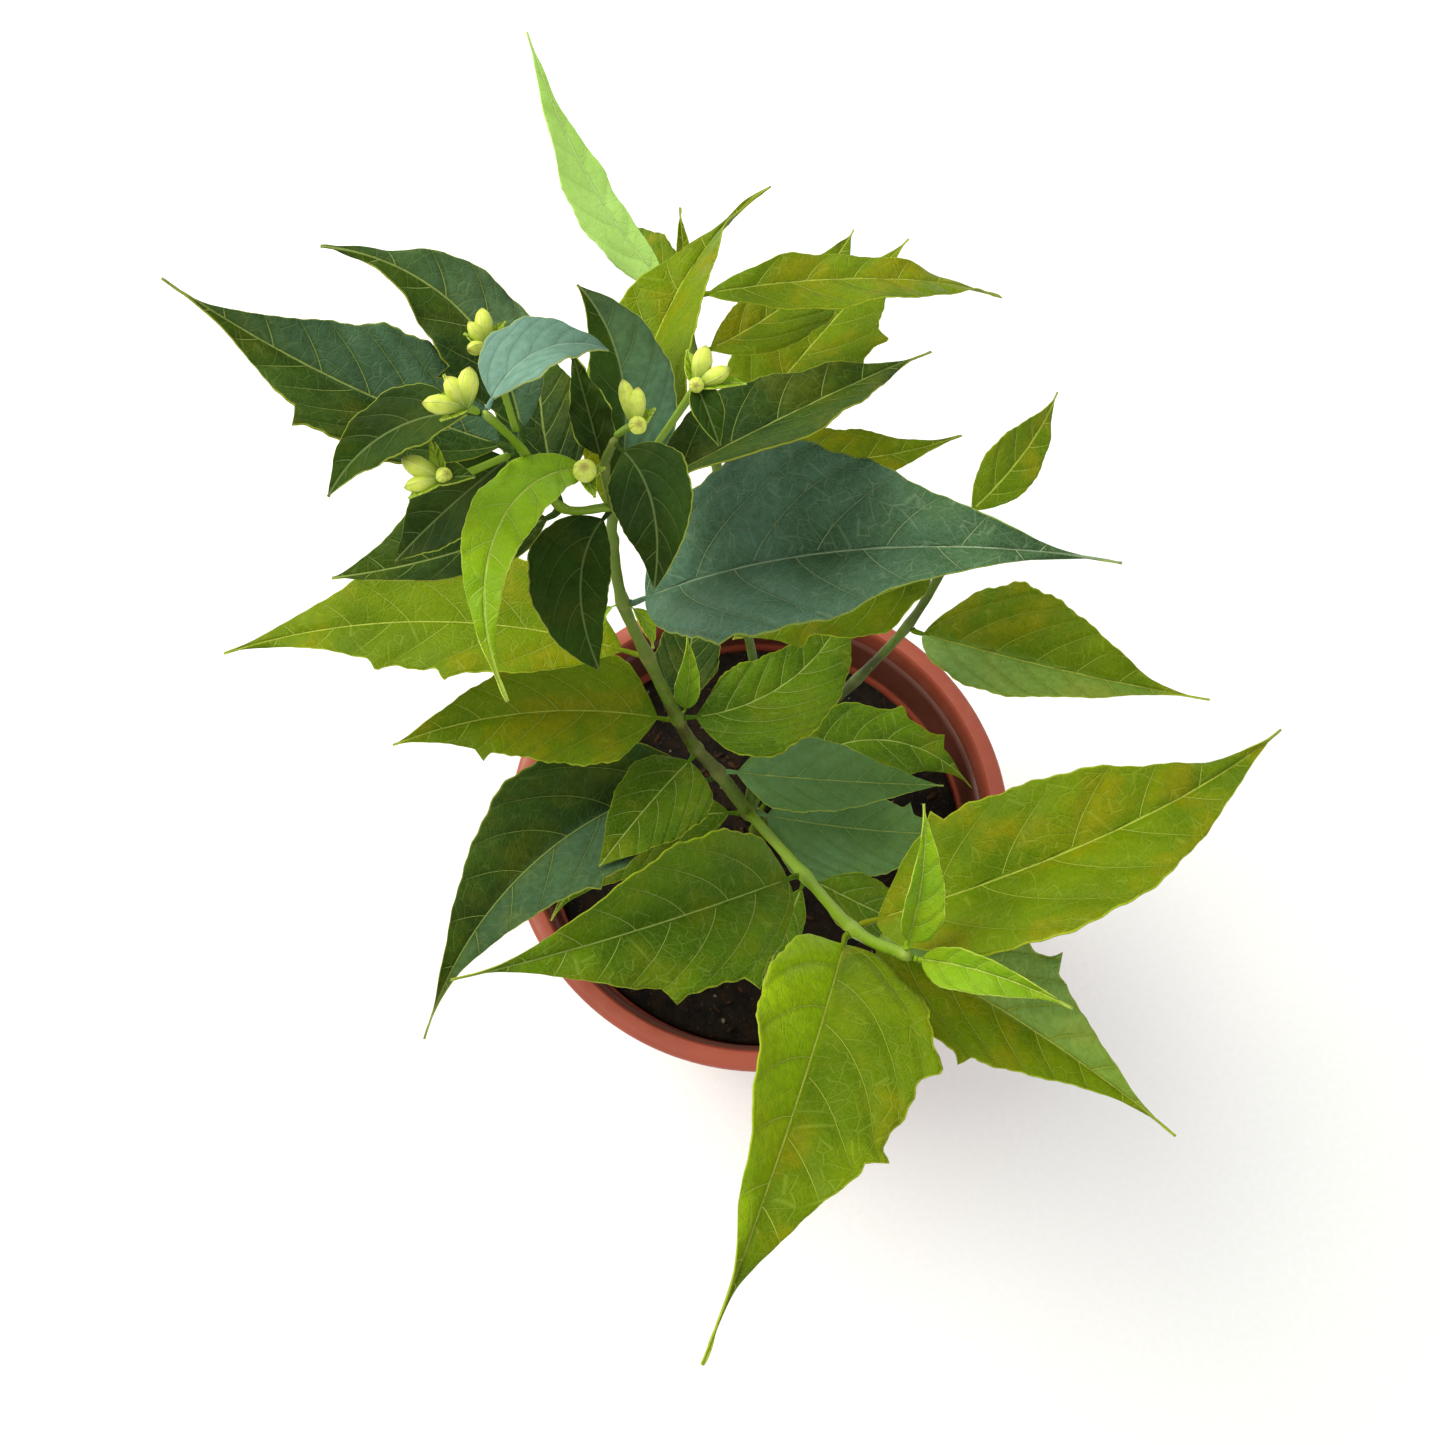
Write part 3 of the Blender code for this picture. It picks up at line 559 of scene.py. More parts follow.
def turned(name, profile, steps):
    """A closed body turned round the Z axis from a profile that starts and ends on the axis."""
    deselect_all()
    bpy.ops.mesh.primitive_circle_add(vertices=len(profile), radius=1)
    made = bpy.context.object
    made.name = name
    points = np.array([(radius, 0, height) for radius, height in profile]) * MM
    write_points(made, points)
    bpy.ops.object.mode_set(mode="EDIT")
    bpy.ops.mesh.select_all(action="DESELECT")
    bpy.ops.object.mode_set(mode="OBJECT")
    last = len(profile) - 1
    for edge in made.data.edges:
        edge.select = set(edge.vertices) == {0, last}
    bpy.ops.object.mode_set(mode="EDIT")
    bpy.ops.mesh.select_mode(type="EDGE")
    bpy.ops.mesh.delete(type="EDGE")
    bpy.ops.mesh.select_all(action="SELECT")
    bpy.ops.mesh.spin(steps=steps, angle=2 * math.pi, center=(0, 0, 0), axis=(0, 0, 1))
    bpy.ops.object.mode_set(mode="OBJECT")
    close_up(made, merge=0.02 * MM)
    smooth(made)
    return made


def linear(code):
    """Linear colour of an sRGB hex value."""
    colour = []
    for index in (1, 3, 5):
        value = int(code[index:index + 2], 16) / 255
        colour.append(value / 12.92 if value <= 0.04045 else ((value + 0.055) / 1.055) ** 2.4)
    return colour + [1.0]


def add_node(tree, kind, feeds=None, out=0, **settings):
    """One shader node with its settings; each feed is linked if it is a socket and set if it is a value."""
    made = tree.nodes.new(kind)
    for name, value in settings.items():
        setattr(made, name, value)
    for name, value in (feeds or {}).items():
        if isinstance(value, bpy.types.NodeSocket):
            tree.links.new(value, made.inputs[name])
        else:
            made.inputs[name].default_value = value
    return made.outputs[out]


# Kinds of shader node used below, and the settings they are used with. Sockets that share a name are given
# by number: a mix takes its share at 0 and its colours at 6 and 7, and a step takes its value at 0, where it
# starts and ends at 1 and 2, and what it gives there at 3 and 4.
PLACE = "ShaderNodeTexCoord"
MIX = "ShaderNodeMix"
MATH = "ShaderNodeMath"
STEP = "ShaderNodeMapRange"
NOISE = "ShaderNodeTexNoise"
CELLS = "ShaderNodeTexVoronoi"
SPLIT = "ShaderNodeSeparateXYZ"
FIELD = "ShaderNodeAttribute"
BUMP = "ShaderNodeBump"
COLOURS = {"data_type": "RGBA", "out": 2}
SOFT = {"interpolation_type": "SMOOTHSTEP"}
EDGES = {"feature": "DISTANCE_TO_EDGE"}


def soft_patches(tree, place, size, detail, low, high, least=0.0, most=1.0):
    """Mask of soft-edged patches about size millimetres wide, between a least and a most share."""
    cloud = add_node(tree, NOISE, {"Vector": place, "Scale": 1 / (size * MM), "Detail": detail})
    return add_node(tree, STEP, {0: cloud, 1: low, 2: high, 3: least, 4: most}, **SOFT)


def new_material(name):
    """A named material, its tree and its main shader."""
    paint = bpy.data.materials.new(name)
    paint.use_nodes = True
    return paint, paint.node_tree, paint.node_tree.nodes["Principled BSDF"]


def vein_masks(tree):
    """Masks of the midrib, side veins, ladder veins and fine net, and where on the blade they lie."""
    veins = add_node(tree, FIELD, out="Vector", attribute_name="veins")
    flat = add_node(tree, FIELD, out="Vector", attribute_name="flat")
    phase, edge, along = add_node(tree, SPLIT, {0: veins}).node.outputs
    across, up, spacing = add_node(tree, SPLIT, {0: flat}).node.outputs
    away = add_node(tree, MATH, {0: phase, 1: 0.5}, operation="PINGPONG")
    apart = add_node(tree, MATH, {0: away, 1: spacing}, operation="MULTIPLY")
    # Side veins are about 0.4 mm wide near the midrib and fade towards the margin.
    line = add_node(tree, STEP, {0: apart, 1: 0.06 * MM, 2: 0.30 * MM, 3: 1.0, 4: 0.0}, **SOFT)
    fade = add_node(tree, STEP, {0: edge, 1: 0.45, 2: 1.0, 3: 1.0, 4: 0.3}, **SOFT)
    side = add_node(tree, MATH, {0: line, 1: fade}, operation="MULTIPLY")
    out = add_node(tree, MATH, {0: across}, operation="ABSOLUTE")
    midrib = add_node(tree, STEP, {0: out, 1: 0.12 * MM, 2: 0.42 * MM, 3: 1.0, 4: 0.0}, **SOFT)
    # Ladder veins cross between the side veins every 4 mm or so, as drawn-out irregular cells.
    slant = add_node(tree, MATH, {0: out, 1: 0.9, 2: up}, operation="MULTIPLY_ADD")
    rung = add_node(tree, MATH, {0: slant, 1: 4.2 * MM}, operation="DIVIDE")
    half = add_node(tree, MATH, {0: across}, operation="SIGN")
    column = add_node(tree, MATH, {0: phase, 1: 1.6}, operation="MULTIPLY")
    cell = add_node(tree, "ShaderNodeCombineXYZ", {0: column, 1: rung, 2: half})
    ladder_gap = add_node(tree, CELLS, {"Vector": cell, "Scale": 1.0}, **EDGES)
    ladder = add_node(tree, STEP, {0: ladder_gap, 1: 0.0, 2: 0.055, 3: 1.0, 4: 0.0}, **SOFT)
    # The finest net has meshes of 1.4 mm, a little coarser than a real one, so that it shows.
    place = add_node(tree, PLACE, out="Object")
    net_gap = add_node(tree, CELLS, {"Vector": place, "Scale": 1 / (1.4 * MM)}, **EDGES)
    net = add_node(tree, STEP, {0: net_gap, 1: 0.02, 2: 0.16, 3: 1.0, 4: 0.0}, **SOFT)
    return {
        "away": away, "side": side, "midrib": midrib, "ladder": ladder, "net": net,
        "edge": edge, "along": along, "across": across, "place": place,
    }


def leaf_paint(
    name, deep, light, patch, vein, margin, rough, gloss, painted_sheen, painted_sheen_share, patch_share, net_share,
    side_share, midrib_share, quilt, pale,
):
    """Living leaf: satin waxy skin that swells between pale sunken veins, in soft patches of colour, with
    painted sheen, painted shade by the side veins and painted light on one half.
    """
    paint, tree, shader = new_material(name)
    mask = vein_masks(tree)
    place = mask["place"]
    # Slow change of colour over about 30 mm, as leaves ripen unevenly.
    share = soft_patches(tree, place, 30, 3.0, 0.40, 0.60)
    body = add_node(tree, MIX, {0: share, 6: linear(deep), 7: linear(light)}, **COLOURS)
    share = soft_patches(tree, place, 16, 4.0, 0.46, 0.66, most=patch_share)
    body = add_node(tree, MIX, {0: share, 6: body, 7: linear(patch)}, **COLOURS)
    # Painted sheen: soft grey-blue patches on the half nearer the stem stand in for the sky's reflection on
    # mature leaves.
    share = soft_patches(tree, place, 24, 6.0, 0.28, 0.62, least=0.45 * painted_sheen_share, most=painted_sheen_share)
    base = add_node(tree, STEP, {0: mask["along"], 1: 0.35, 2: 0.9, 3: 1.0, 4: 0.25}, **SOFT)
    share = add_node(tree, MATH, {0: share, 1: base}, operation="MULTIPLY")
    body = add_node(tree, MIX, {0: share, 6: body, 7: linear(painted_sheen)}, **COLOURS)
    # Painted light: on some leaves one half is painted lighter, for the light and sheen that half catches.
    tint = add_node(tree, FIELD, out="Vector", attribute_name="tint")
    half = add_node(tree, SPLIT, {0: tint}, out="X")
    share = add_node(tree, MATH, {0: half, 1: 0.65}, operation="MULTIPLY")
    body = add_node(tree, MIX, {0: share, 6: body, 7: linear(pale)}, **COLOURS)
    # Mottle of 2 mm, and a darker band of painted shade where the blade dips to each side vein.
    share = soft_patches(tree, place, 2.2, 4.0, 0.35, 0.65, most=0.28)
    body = add_node(tree, MIX, {0: share, 6: body, 7: linear(deep)}, **COLOURS)
    share = add_node(tree, STEP, {0: mask["away"], 1: 0.0, 2: 0.14, 3: 0.35, 4: 0.0}, **SOFT)
    body = add_node(tree, MIX, {0: share, 6: body, 7: linear(deep)}, **COLOURS)
    # Veins, from the faintest to the strongest, then the thin pale rim.
    net = add_node(tree, MATH, {0: mask["net"], 1: net_share * 0.35}, operation="MULTIPLY")
    ladder = add_node(tree, MATH, {0: mask["ladder"], 1: net_share}, operation="MULTIPLY")
    fine = add_node(tree, MATH, {0: net, 1: ladder}, operation="MAXIMUM")
    side = add_node(tree, MATH, {0: mask["side"], 1: side_share}, operation="MULTIPLY")
    midrib = add_node(tree, MATH, {0: mask["midrib"], 1: midrib_share}, operation="MULTIPLY")
    strong = add_node(tree, MATH, {0: side, 1: midrib}, operation="MAXIMUM")
    lines = add_node(tree, MATH, {0: fine, 1: strong}, operation="MAXIMUM")
    body = add_node(tree, MIX, {0: lines, 6: body, 7: linear(vein)}, **COLOURS)
    rim = add_node(tree, STEP, {0: mask["edge"], 1: 0.972, 2: 0.994, 3: 0.0, 4: 0.8}, **SOFT)
    body = add_node(tree, MIX, {0: rim, 6: body, 7: linear(margin)}, **COLOURS)
    tree.links.new(body, shader.inputs["Base Color"])
    dull = soft_patches(tree, place, 6, 3.0, 0.3, 0.7, least=rough - 0.06, most=rough + 0.08)
    tree.links.new(dull, shader.inputs["Roughness"])
    shader.inputs["IOR"].default_value = 1.45
    shader.inputs["Specular IOR Level"].default_value = gloss
    # The blade swells between side veins, by quilt in millimetres, and the strong veins sink 0.3 mm into it.
    swell = add_node(tree, STEP, {0: mask["away"], 1: 0.0, 2: 0.32, 3: 0.0, 4: quilt * MM}, **SOFT)
    height = add_node(tree, MATH, {0: strong, 1: -0.3 * MM, 2: swell}, operation="MULTIPLY_ADD")
    # Between them the skin puckers over every rung and mesh of the fine veins.
    dip = -net_share * MM
    height = add_node(tree, MATH, {0: mask["ladder"], 1: 0.7 * dip, 2: height}, operation="MULTIPLY_ADD")
    height = add_node(tree, MATH, {0: mask["net"], 1: 0.3 * dip, 2: height}, operation="MULTIPLY_ADD")
    grain = add_node(tree, NOISE, {"Vector": place, "Scale": 1 / (1.6 * MM), "Detail": 2.0})
    height = add_node(tree, MATH, {0: grain, 1: 0.14 * MM, 2: height}, operation="MULTIPLY_ADD")
    bump = add_node(tree, BUMP, {"Height": height, "Distance": 1.0, "Strength": 0.9})
    tree.links.new(bump, shader.inputs["Normal"])
    return paint


def underside_paint(name, skin, vein):
    """Leaf underside: paler and duller than the top, with veins that stand out."""
    paint, tree, shader = new_material(name)
    mask = vein_masks(tree)
    place = mask["place"]
    share = soft_patches(tree, place, 20, 3.0, 0.35, 0.65, most=0.3)
    body = add_node(tree, MIX, {0: share, 6: linear(skin), 7: linear(vein)}, **COLOURS)
    net = add_node(tree, MATH, {0: mask["net"], 1: 0.15}, operation="MULTIPLY")
    ladder = add_node(tree, MATH, {0: mask["ladder"], 1: 0.35}, operation="MULTIPLY")
    fine = add_node(tree, MATH, {0: net, 1: ladder}, operation="MAXIMUM")
    strong = add_node(tree, MATH, {0: mask["side"], 1: mask["midrib"]}, operation="MAXIMUM")
    lines = add_node(tree, MATH, {0: fine, 1: strong}, operation="MAXIMUM")
    share = add_node(tree, MATH, {0: lines, 1: 0.8}, operation="MULTIPLY")
    body = add_node(tree, MIX, {0: share, 6: body, 7: linear(vein)}, **COLOURS)
    tree.links.new(body, shader.inputs["Base Color"])
    shader.inputs["Roughness"].default_value = 0.62
    shader.inputs["Specular IOR Level"].default_value = 0.3
    height = add_node(tree, MATH, {0: lines, 1: 0.25 * MM}, operation="MULTIPLY")
    bump = add_node(tree, BUMP, {"Height": height, "Distance": 1.0, "Strength": 0.9})
    tree.links.new(bump, shader.inputs["Normal"])
    return paint


def bark_paint(name, young, old, spot, rough, green_height):
    """Stem skin: streaked along the stem, with small pale breathing pores."""
    paint, tree, shader = new_material(name)
    place = add_node(tree, PLACE, out="Object")
    drawn = add_node(tree, "ShaderNodeMapping", {"Vector": place, "Scale": (1.0, 1.0, 0.25)})
    share = soft_patches(tree, place, 16, 3.0, 0.38, 0.62)
    body = add_node(tree, MIX, {0: share, 6: linear(young), 7: linear(old)}, **COLOURS)
    streak = add_node(tree, NOISE, {"Vector": drawn, "Scale": 1 / (1.2 * MM), "Detail": 4.0})
    share = add_node(tree, STEP, {0: streak, 1: 0.45, 2: 0.7, 3: 0.0, 4: 0.5}, **SOFT)
    body = add_node(tree, MIX, {0: share, 6: body, 7: linear(old)}, **COLOURS)
    # Bark ripens from the foot up, so the stem is green above the green height.
    up = add_node(tree, SPLIT, {0: place}, out="Z")
    share = add_node(tree, STEP, {0: up, 1: green_height - 60 * MM, 2: green_height, 3: 0.0, 4: 0.75}, **SOFT)
    body = add_node(tree, MIX, {0: share, 6: body, 7: linear(young)}, **COLOURS)
    # Pores are about 0.5 mm across and four times as long, and lie about 1.7 mm apart round the stem.
    gap = add_node(tree, CELLS, {"Vector": drawn, "Scale": 1 / (1.7 * MM)})
    pore = add_node(tree, STEP, {0: gap, 1: 0.10, 2: 0.20, 3: 0.6, 4: 0.0}, **SOFT)
    body = add_node(tree, MIX, {0: pore, 6: body, 7: linear(spot)}, **COLOURS)
    # Leaf scars: paler, browner rings where the stem swells at each node.
    joint = add_node(tree, FIELD, out="Fac", attribute_name="joint")
    share = add_node(tree, MATH, {0: joint, 1: 0.3}, operation="MULTIPLY")
    body = add_node(tree, MIX, {0: share, 6: body, 7: linear(spot)}, **COLOURS)
    tree.links.new(body, shader.inputs["Base Color"])
    shader.inputs["Roughness"].default_value = rough
    rise = add_node(tree, MATH, {0: streak, 1: pore}, operation="ADD")
    height = add_node(tree, MATH, {0: rise, 1: 0.25 * MM}, operation="MULTIPLY")
    bump = add_node(tree, BUMP, {"Height": height, "Distance": 1.0, "Strength": 0.8})
    tree.links.new(bump, shader.inputs["Normal"])
    return paint


def bud_paint():
    """Flower bud: matt pale yellow-green calyx, greener at its foot, with fine ribs and a warm tip."""
    paint, tree, shader = new_material("jasmine_calyx")
    place = add_node(tree, PLACE, out="Object")
    veins = add_node(tree, FIELD, out="Vector", attribute_name="veins")
    around, _, along = add_node(tree, SPLIT, {0: veins}).node.outputs
    share = add_node(tree, STEP, {0: along, 1: 0.05, 2: 0.7, 3: 0.0, 4: 1.0}, **SOFT)
    body = add_node(tree, MIX, {0: share, 6: linear("#5C7C08"), 7: linear("#CCD854")}, **COLOURS)
    share = add_node(tree, STEP, {0: along, 1: 0.88, 2: 1.0, 3: 0.0, 4: 0.7}, **SOFT)
    body = add_node(tree, MIX, {0: share, 6: body, 7: linear("#8A6A24")}, **COLOURS)
    near = add_node(tree, MATH, {0: around, 1: 0.5}, operation="PINGPONG")
    rib = add_node(tree, STEP, {0: near, 1: 0.0, 2: 0.12, 3: 0.45, 4: 0.0}, **SOFT)
    body = add_node(tree, MIX, {0: rib, 6: body, 7: linear("#DDE494")}, **COLOURS)
    share = soft_patches(tree, place, 1.5, 3.0, 0.45, 0.7, most=0.4)
    body = add_node(tree, MIX, {0: share, 6: body, 7: linear("#9CAE30")}, **COLOURS)
    tree.links.new(body, shader.inputs["Base Color"])
    shader.inputs["Roughness"].default_value = 0.46
    shader.inputs["Specular IOR Level"].default_value = 0.4
    height = add_node(tree, MATH, {0: rib, 1: 0.3 * MM}, operation="MULTIPLY")
    bump = add_node(tree, BUMP, {"Height": height, "Distance": 1.0, "Strength": 0.9})
    tree.links.new(bump, shader.inputs["Normal"])
    return paint


def pot_paint():
    """Nursery pot: moulded polypropylene in terracotta colour, satin, with dust, scuffs, soil specks, and
    painted shade low on the wall and inside the rim.
    """
    paint, tree, shader = new_material("moulded_polypropylene")
    place = add_node(tree, PLACE, out="Object")
    height = add_node(tree, SPLIT, {0: place}, out="Z")
    share = soft_patches(tree, place, 40, 3.0, 0.35, 0.65)
    body = add_node(tree, MIX, {0: share, 6: linear("#98452F"), 7: linear("#A44B35")}, **COLOURS)
    share = soft_patches(tree, place, 9, 6.0, 0.52, 0.78, most=0.22)
    body = add_node(tree, MIX, {0: share, 6: body, 7: linear("#B0705A")}, **COLOURS)
    # Painted shade: the pot darkens towards its foot, over the lowest 60 mm.
    share = add_node(tree, STEP, {0: height, 1: 0.0, 2: 60 * MM, 3: 0.35, 4: 0.0}, **SOFT)
    body = add_node(tree, MIX, {0: share, 6: body, 7: linear("#7C4636")}, **COLOURS)
    gap = add_node(tree, CELLS, {"Vector": place, "Scale": 1 / (3.5 * MM)})
    share = add_node(tree, STEP, {0: gap, 1: 0.04, 2: 0.08, 3: 0.35, 4: 0.0}, **SOFT)
    body = add_node(tree, MIX, {0: share, 6: body, 7: linear("#5A3426")}, **COLOURS)
    # Painted shade: the inner wall above the soil is painted dark for the shade under the rim, over a dusting
    # of dried soil.
    parts = add_node(tree, SPLIT, {0: place}).node.outputs
    ground = add_node(tree, "ShaderNodeCombineXYZ", {0: parts["X"], 1: parts["Y"]})
    radius = add_node(tree, "ShaderNodeVectorMath", {0: ground}, out="Value", operation="LENGTH")
    inner = add_node(tree, STEP, {0: radius, 1: 92.6 * MM, 2: 90.6 * MM, 3: 0.0, 4: 0.85}, **SOFT)
    high = add_node(tree, STEP, {0: height, 1: 144 * MM, 2: 146 * MM, 3: 0.0, 4: 1.0}, **SOFT)
    share = add_node(tree, MATH, {0: inner, 1: high}, operation="MULTIPLY")
    body = add_node(tree, MIX, {0: share, 6: body, 7: linear("#3E2014")}, **COLOURS)
    tree.links.new(body, shader.inputs["Base Color"])
    dull = soft_patches(tree, place, 7, 5.0, 0.3, 0.7, least=0.40, most=0.58)
    tree.links.new(dull, shader.inputs["Roughness"])
    shader.inputs["IOR"].default_value = 1.49
    grain = add_node(tree, NOISE, {"Vector": place, "Scale": 1 / (0.7 * MM), "Detail": 3.0})
    rise = add_node(tree, MATH, {0: grain, 1: 0.05 * MM}, operation="MULTIPLY")
    bump = add_node(tree, BUMP, {"Height": rise, "Distance": 1.0, "Strength": 0.6})
    tree.links.new(bump, shader.inputs["Normal"])
    return paint


def soil_paint(name, dark, brown, pale):
    """Potting mix: damp dull peat with coarse fibres and pale mineral grit."""
    paint, tree, shader = new_material(name)
    place = add_node(tree, PLACE, out="Object")
    share = soft_patches(tree, place, 6, 6.0, 0.35, 0.65)
    body = add_node(tree, MIX, {0: share, 6: linear(dark), 7: linear(brown)}, **COLOURS)
    gap = add_node(tree, CELLS, {"Vector": place, "Scale": 1 / (2.6 * MM)})
    share = add_node(tree, STEP, {0: gap, 1: 0.12, 2: 0.2, 3: 0.45, 4: 0.0}, **SOFT)
    body = add_node(tree, MIX, {0: share, 6: body, 7: linear(pale)}, **COLOURS)
    tree.links.new(body, shader.inputs["Base Color"])
    shader.inputs["Roughness"].default_value = 0.9
    shader.inputs["Specular IOR Level"].default_value = 0.2
    lumps = add_node(tree, NOISE, {"Vector": place, "Scale": 1 / (2.5 * MM), "Detail": 6.0})
    height = add_node(tree, MATH, {0: lumps, 1: 1.6 * MM}, operation="MULTIPLY")
    bump = add_node(tree, BUMP, {"Height": height, "Distance": 1.0, "Strength": 1.0})
    tree.links.new(bump, shader.inputs["Normal"])
    return paint


def board_paint():
    """Floor: matt white board, so that only soft shadows show on it."""
    paint, tree, shader = new_material("matt_white_board")
    place = add_node(tree, PLACE, out="Object")
    share = soft_patches(tree, place, 3, 2.0, 0.3, 0.7)
    body = add_node(tree, MIX, {0: share, 6: linear("#F6F6F5"), 7: linear("#F8F8F8")}, **COLOURS)
    tree.links.new(body, shader.inputs["Base Color"])
    shader.inputs["Roughness"].default_value = 0.95
    return paint


# Leaf finishes by age: skin colours, vein, rim, the pale colour of painted light, roughness, gloss, painted
# sheen, patches and vein strengths.
LEAF_FINISHES = {
    "mature_leaf_grey_green": dict(
        deep="#2E4A1C", light="#3E5E2C", patch="#34500E", vein="#98AE88", margin="#8E9E36", pale="#5F8470",
        rough=0.50, gloss=0.09, painted_sheen="#5E8470", painted_sheen_share=0.72, patch_share=0.45, net_share=0.24,
        side_share=0.8, midrib_share=0.9, quilt=0.6,
    ),
    "small_mature_leaf": dict(
        deep="#1C2E02", light="#2B4404", patch="#424A02", vein="#7E9054", margin="#9AA840", pale="#5A8064",
        rough=0.44, gloss=0.04, painted_sheen="#42624A", painted_sheen_share=0.12, patch_share=0.5, net_share=0.05,
        side_share=0.28, midrib_share=0.45, quilt=0.1,
    ),
    # Grey-green skin under a strong painted sheen, for the smallest mature leaf.
    "small_grey_leaf_painted_sheen": dict(
        deep="#44624E", light="#5A7C66", patch="#4E6E50", vein="#8CA68E", margin="#A8B45C", pale="#6F9486",
        rough=0.50, gloss=0.10, painted_sheen="#74998A", painted_sheen_share=0.8, patch_share=0.3, net_share=0.05,
        side_share=0.2, midrib_share=0.45, quilt=0.08,
    ),
    "mature_leaf_deep_green": dict(
        deep="#203402", light="#354B03", patch="#505600", vein="#8A9C50", margin="#929A30", pale="#54765C",
        rough=0.46, gloss=0.05, painted_sheen="#3C5E40", painted_sheen_share=0.25, patch_share=0.6, net_share=0.12,
        side_share=0.75, midrib_share=0.85, quilt=0.4,
    ),
    # Painted light: brighter, bluer skin for leaves deep in the plant's shade, with painted sheen.
    "shaded_leaf_painted_light": dict(
        deep="#4A6C28", light="#5E8238", patch="#5A7A1C", vein="#9CB05C", margin="#98A83A", pale="#74986A",
        rough=0.50, gloss=0.08, painted_sheen="#6C9468", painted_sheen_share=0.6, patch_share=0.4, net_share=0.12,
        side_share=0.55, midrib_share=0.8, quilt=0.4,
    ),
    "grown_leaf_green": dict(
        deep="#405C00", light="#587600", patch="#6E7600", vein="#A2B658", margin="#98A626", pale="#7A9C48",
        rough=0.46, gloss=0.07, painted_sheen="#3E6616", painted_sheen_share=0.25, patch_share=0.55, net_share=0.2,
        side_share=0.85, midrib_share=0.85, quilt=0.45,
    ),
    "young_leaf_yellow_green": dict(
        deep="#526A00", light="#687E00", patch="#847E00", vein="#ACBA48", margin="#A4B22C", pale="#94B80A",
        rough=0.42, gloss=0.07, painted_sheen="#5A8018", painted_sheen_share=0.2, patch_share=0.8, net_share=0.18,
        side_share=0.75, midrib_share=0.85, quilt=0.45,
    ),
    "new_leaf_lime": dict(
        deep="#6C9000", light="#84AA02", patch="#98A802", vein="#B6C95E", margin="#B8CA50", pale="#8CB42C",
        rough=0.40, gloss=0.08, painted_sheen="#7CA636", painted_sheen_share=0.4, patch_share=0.5, net_share=0.14,
        side_share=0.5, midrib_share=0.7, quilt=0.35,
    ),
    "thin_leaf_backlit": dict(
        deep="#A6D65A", light="#BCEB70", patch="#C6F07E", vein="#D8F29C", margin="#D0EE92", pale="#C8F090",
        rough=0.5, gloss=0.07, painted_sheen="#C8F090", painted_sheen_share=0.4, patch_share=0.4, net_share=0.12,
        side_share=0.45, midrib_share=0.8, quilt=0.25,
    ),
}
# The same young skin, but with a grey-green painted sheen on the half named in the table of painted light
# halves.
LEAF_FINISHES["young_leaf_painted_sheen_half"] = dict(LEAF_FINISHES["young_leaf_yellow_green"], pale="#94BC66")
UNDERSIDES = {
    "mature_leaf_grey_green": ("#5A7248", "#98AA7C"),
    "mature_leaf_deep_green": ("#546C38", "#92A66C"),
    "shaded_leaf_painted_light": ("#64803C", "#9CB06C"),
    "small_mature_leaf": ("#546C38", "#92A66C"),
    "small_grey_leaf_painted_sheen": ("#6A8660", "#A0B48C"),
    "grown_leaf_green": ("#688430", "#A2B668"),
    "young_leaf_yellow_green": ("#7E9A3C", "#B2C474"),
    "young_leaf_painted_sheen_half": ("#7E9A3C", "#B2C474"),
    "new_leaf_lime": ("#98B648", "#C4D684"),
    "thin_leaf_backlit": ("#A4D264", "#CDEB96"),
}

GREY_GREEN = ("leaf_broad",)
SMALL_MATURE = (
    "leaf_left_4", "leaf_left_7", "leaf_crown_1", "leaf_crown_2", "leaf_crown_3", "leaf_crown_4",
)
SMALL_GREY_SHEEN = ("leaf_left_3",)
DEEP_GREEN = (
    "leaf_left_1", "leaf_left_2", "leaf_left_5", "leaf_left_6", "leaf_crown_6", "leaf_low_1", "leaf_low_6",
)
SHADED_GREEN = ("leaf_low_4", "leaf_low_7")
GROWN_GREEN = (
    "leaf_mid_1", "leaf_low_2", "leaf_low_3", "leaf_low_5", "leaf_front_1", "leaf_front_7", "leaf_front_8",
)
LIME = ("leaf_arched", "leaf_front_5", "leaf_front_6", "leaf_mid_2", "leaf_mid_5", "leaf_mid_6")
BACKLIT = ("leaf_back_1",)
PAINTED_SHEEN_HALF = ("leaf_front_3", "leaf_right_3")


def finish_of(node):
    """Finish of a leaf, by its age."""
    groups = (
        (GREY_GREEN, "mature_leaf_grey_green"),
        (SMALL_MATURE, "small_mature_leaf"),
        (SMALL_GREY_SHEEN, "small_grey_leaf_painted_sheen"),
        (DEEP_GREEN, "mature_leaf_deep_green"),
        (SHADED_GREEN, "shaded_leaf_painted_light"),
        (GROWN_GREEN, "grown_leaf_green"),
        (LIME, "new_leaf_lime"),
        (BACKLIT, "thin_leaf_backlit"),
        (PAINTED_SHEEN_HALF, "young_leaf_painted_sheen_half"),
    )
    for nodes, finish in groups:
        if node in nodes:
            return finish
    return "young_leaf_yellow_green"


def settle(piece, node, paints):
    """Gives a finished piece its materials and puts it on the frame in place of its plain solid."""
    piece.data.materials.clear()
    for paint in paints:
        piece.data.materials.append(paint)
    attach(piece, "root")
    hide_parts(node)


